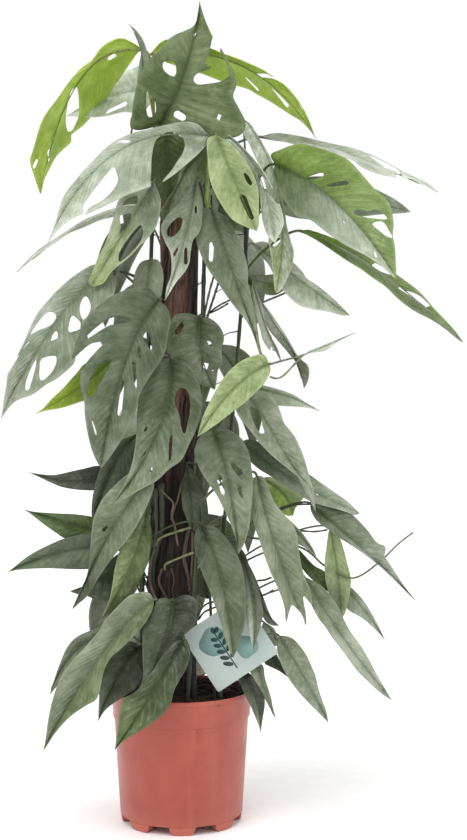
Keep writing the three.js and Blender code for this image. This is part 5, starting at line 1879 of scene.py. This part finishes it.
class AROID_OT_stage(bpy.types.Operator):
    """Sets the pale floor, the soft lights and the camera"""

    bl_idname = "aroid.stage"
    bl_label = "Stage"

    # Name, the way to it, its strength and how many degrees wide it is, which makes it soft
    LIGHTS = [
        ("key", (-0.9, -1.5, 2.4), 1.8, 50),
        ("fill", (2.0, -1.0, 1.2), 0.5, 60),
        ("rear", (0.3, 1.5, 2.0), 0.6, 60),
    ]
    # The sky's strength up to the sine of one elevation, and above that of another
    SKY_LOW = (1.0, 0.31)
    SKY_HIGH = (0.6, 0.6)

    def execute(self, context):
        settings = context.scene.aroid_stage
        self.add_floor(settings)
        for name, way, strength, width in self.LIGHTS:
            self.add_light(name, Vector(way), strength, width)
        self.add_sky(context)
        self.add_camera(context)
        context.scene.view_settings.view_transform = "Standard"
        return {"FINISHED"}

    def add_floor(self, settings):
        bm = bmesh.new()
        bmesh.ops.create_circle(bm, cap_ends=True, segments=96, radius=settings.reach)
        mesh = bpy.data.meshes.new("floor")
        bm.to_mesh(mesh)
        bm.free()
        mesh.materials.append(plain_finish("pale_floor", settings.floor, 0.8, 40, 0.01).material)
        floor = bpy.data.objects.new("floor", mesh)
        bpy.context.scene.collection.objects.link(floor)
        floor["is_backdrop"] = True

    def add_sky(self, context):
        """White towards the horizon and dimmer higher up, so that the lights shape the leaves."""
        world = bpy.data.worlds.new("studio")
        world.use_nodes = True
        shading = Shading(world.node_tree)
        way = shading.node("ShaderNodeTexCoord", output="Generated")
        height = shading.node("ShaderNodeSeparateXYZ", inputs={0: way}, output=2)
        background = world.node_tree.nodes["Background"]
        shading.join((1, 1, 1), background.inputs["Color"])
        strength = height.ramp(self.SKY_LOW[1], self.SKY_HIGH[1], self.SKY_LOW[0], self.SKY_HIGH[0])
        shading.join(strength, background.inputs["Strength"])
        context.scene.world = world

    def add_light(self, name, way, strength, width):
        data = bpy.data.lights.new(name, "SUN")
        data.energy = strength
        data.angle = math.radians(width)
        light = bpy.data.objects.new(name, data)
        light.location = way
        light.rotation_euler = (-way).to_track_quat("-Z", "Y").to_euler()
        bpy.context.scene.collection.objects.link(light)

    def add_camera(self, context):
        data = bpy.data.cameras.new("camera")
        data.lens = LENS
        camera = bpy.data.objects.new("camera", data)
        camera.location = EYE
        camera.rotation_euler = (math.radians(90), 0, 0)
        context.scene.collection.objects.link(camera)
        context.scene.camera = camera


PIECES = [AROID_OT_stage, AROID_OT_pot, AROID_OT_soil, AROID_OT_pole, AROID_OT_leafy_stems, AROID_OT_tag]


class AROID_PT_panel(bpy.types.Panel):
    bl_idname = "AROID_PT_panel"
    bl_label = "Potted climbing aroid"
    bl_space_type = "VIEW_3D"
    bl_region_type = "UI"
    bl_category = "Aroid"

    def draw(self, context):
        for piece in PIECES:
            self.layout.operator(piece.bl_idname)
        for name, group in SETTINGS.items():
            box = self.layout.box()
            box.label(text=group.__name__.replace("Settings", ""))
            for prop in group.__annotations__:
                box.prop(getattr(context.scene, name), prop)


CLASSES = [*SETTINGS.values(), *PIECES, AROID_PT_panel]


def register():
    for cls in CLASSES:
        bpy.utils.register_class(cls)
    for name, group in SETTINGS.items():
        setattr(bpy.types.Scene, name, PointerProperty(type=group))


def unregister():
    for name in SETTINGS:
        delattr(bpy.types.Scene, name)
    for cls in reversed(CLASSES):
        bpy.utils.unregister_class(cls)


def plain(bounds):
    return [[round(value, 5) for value in corner] for corner in bounds]


def main():
    register()
    bpy.ops.aroid.stage()
    bpy.ops.aroid.pot()
    bpy.ops.aroid.soil()
    bpy.ops.aroid.pole()
    bpy.ops.aroid.leafy_stems()
    bpy.ops.aroid.tag()
    {"cad": plain(CAD_BOX), "visual": plain(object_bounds())}


if __name__ == "__main__":
    main()
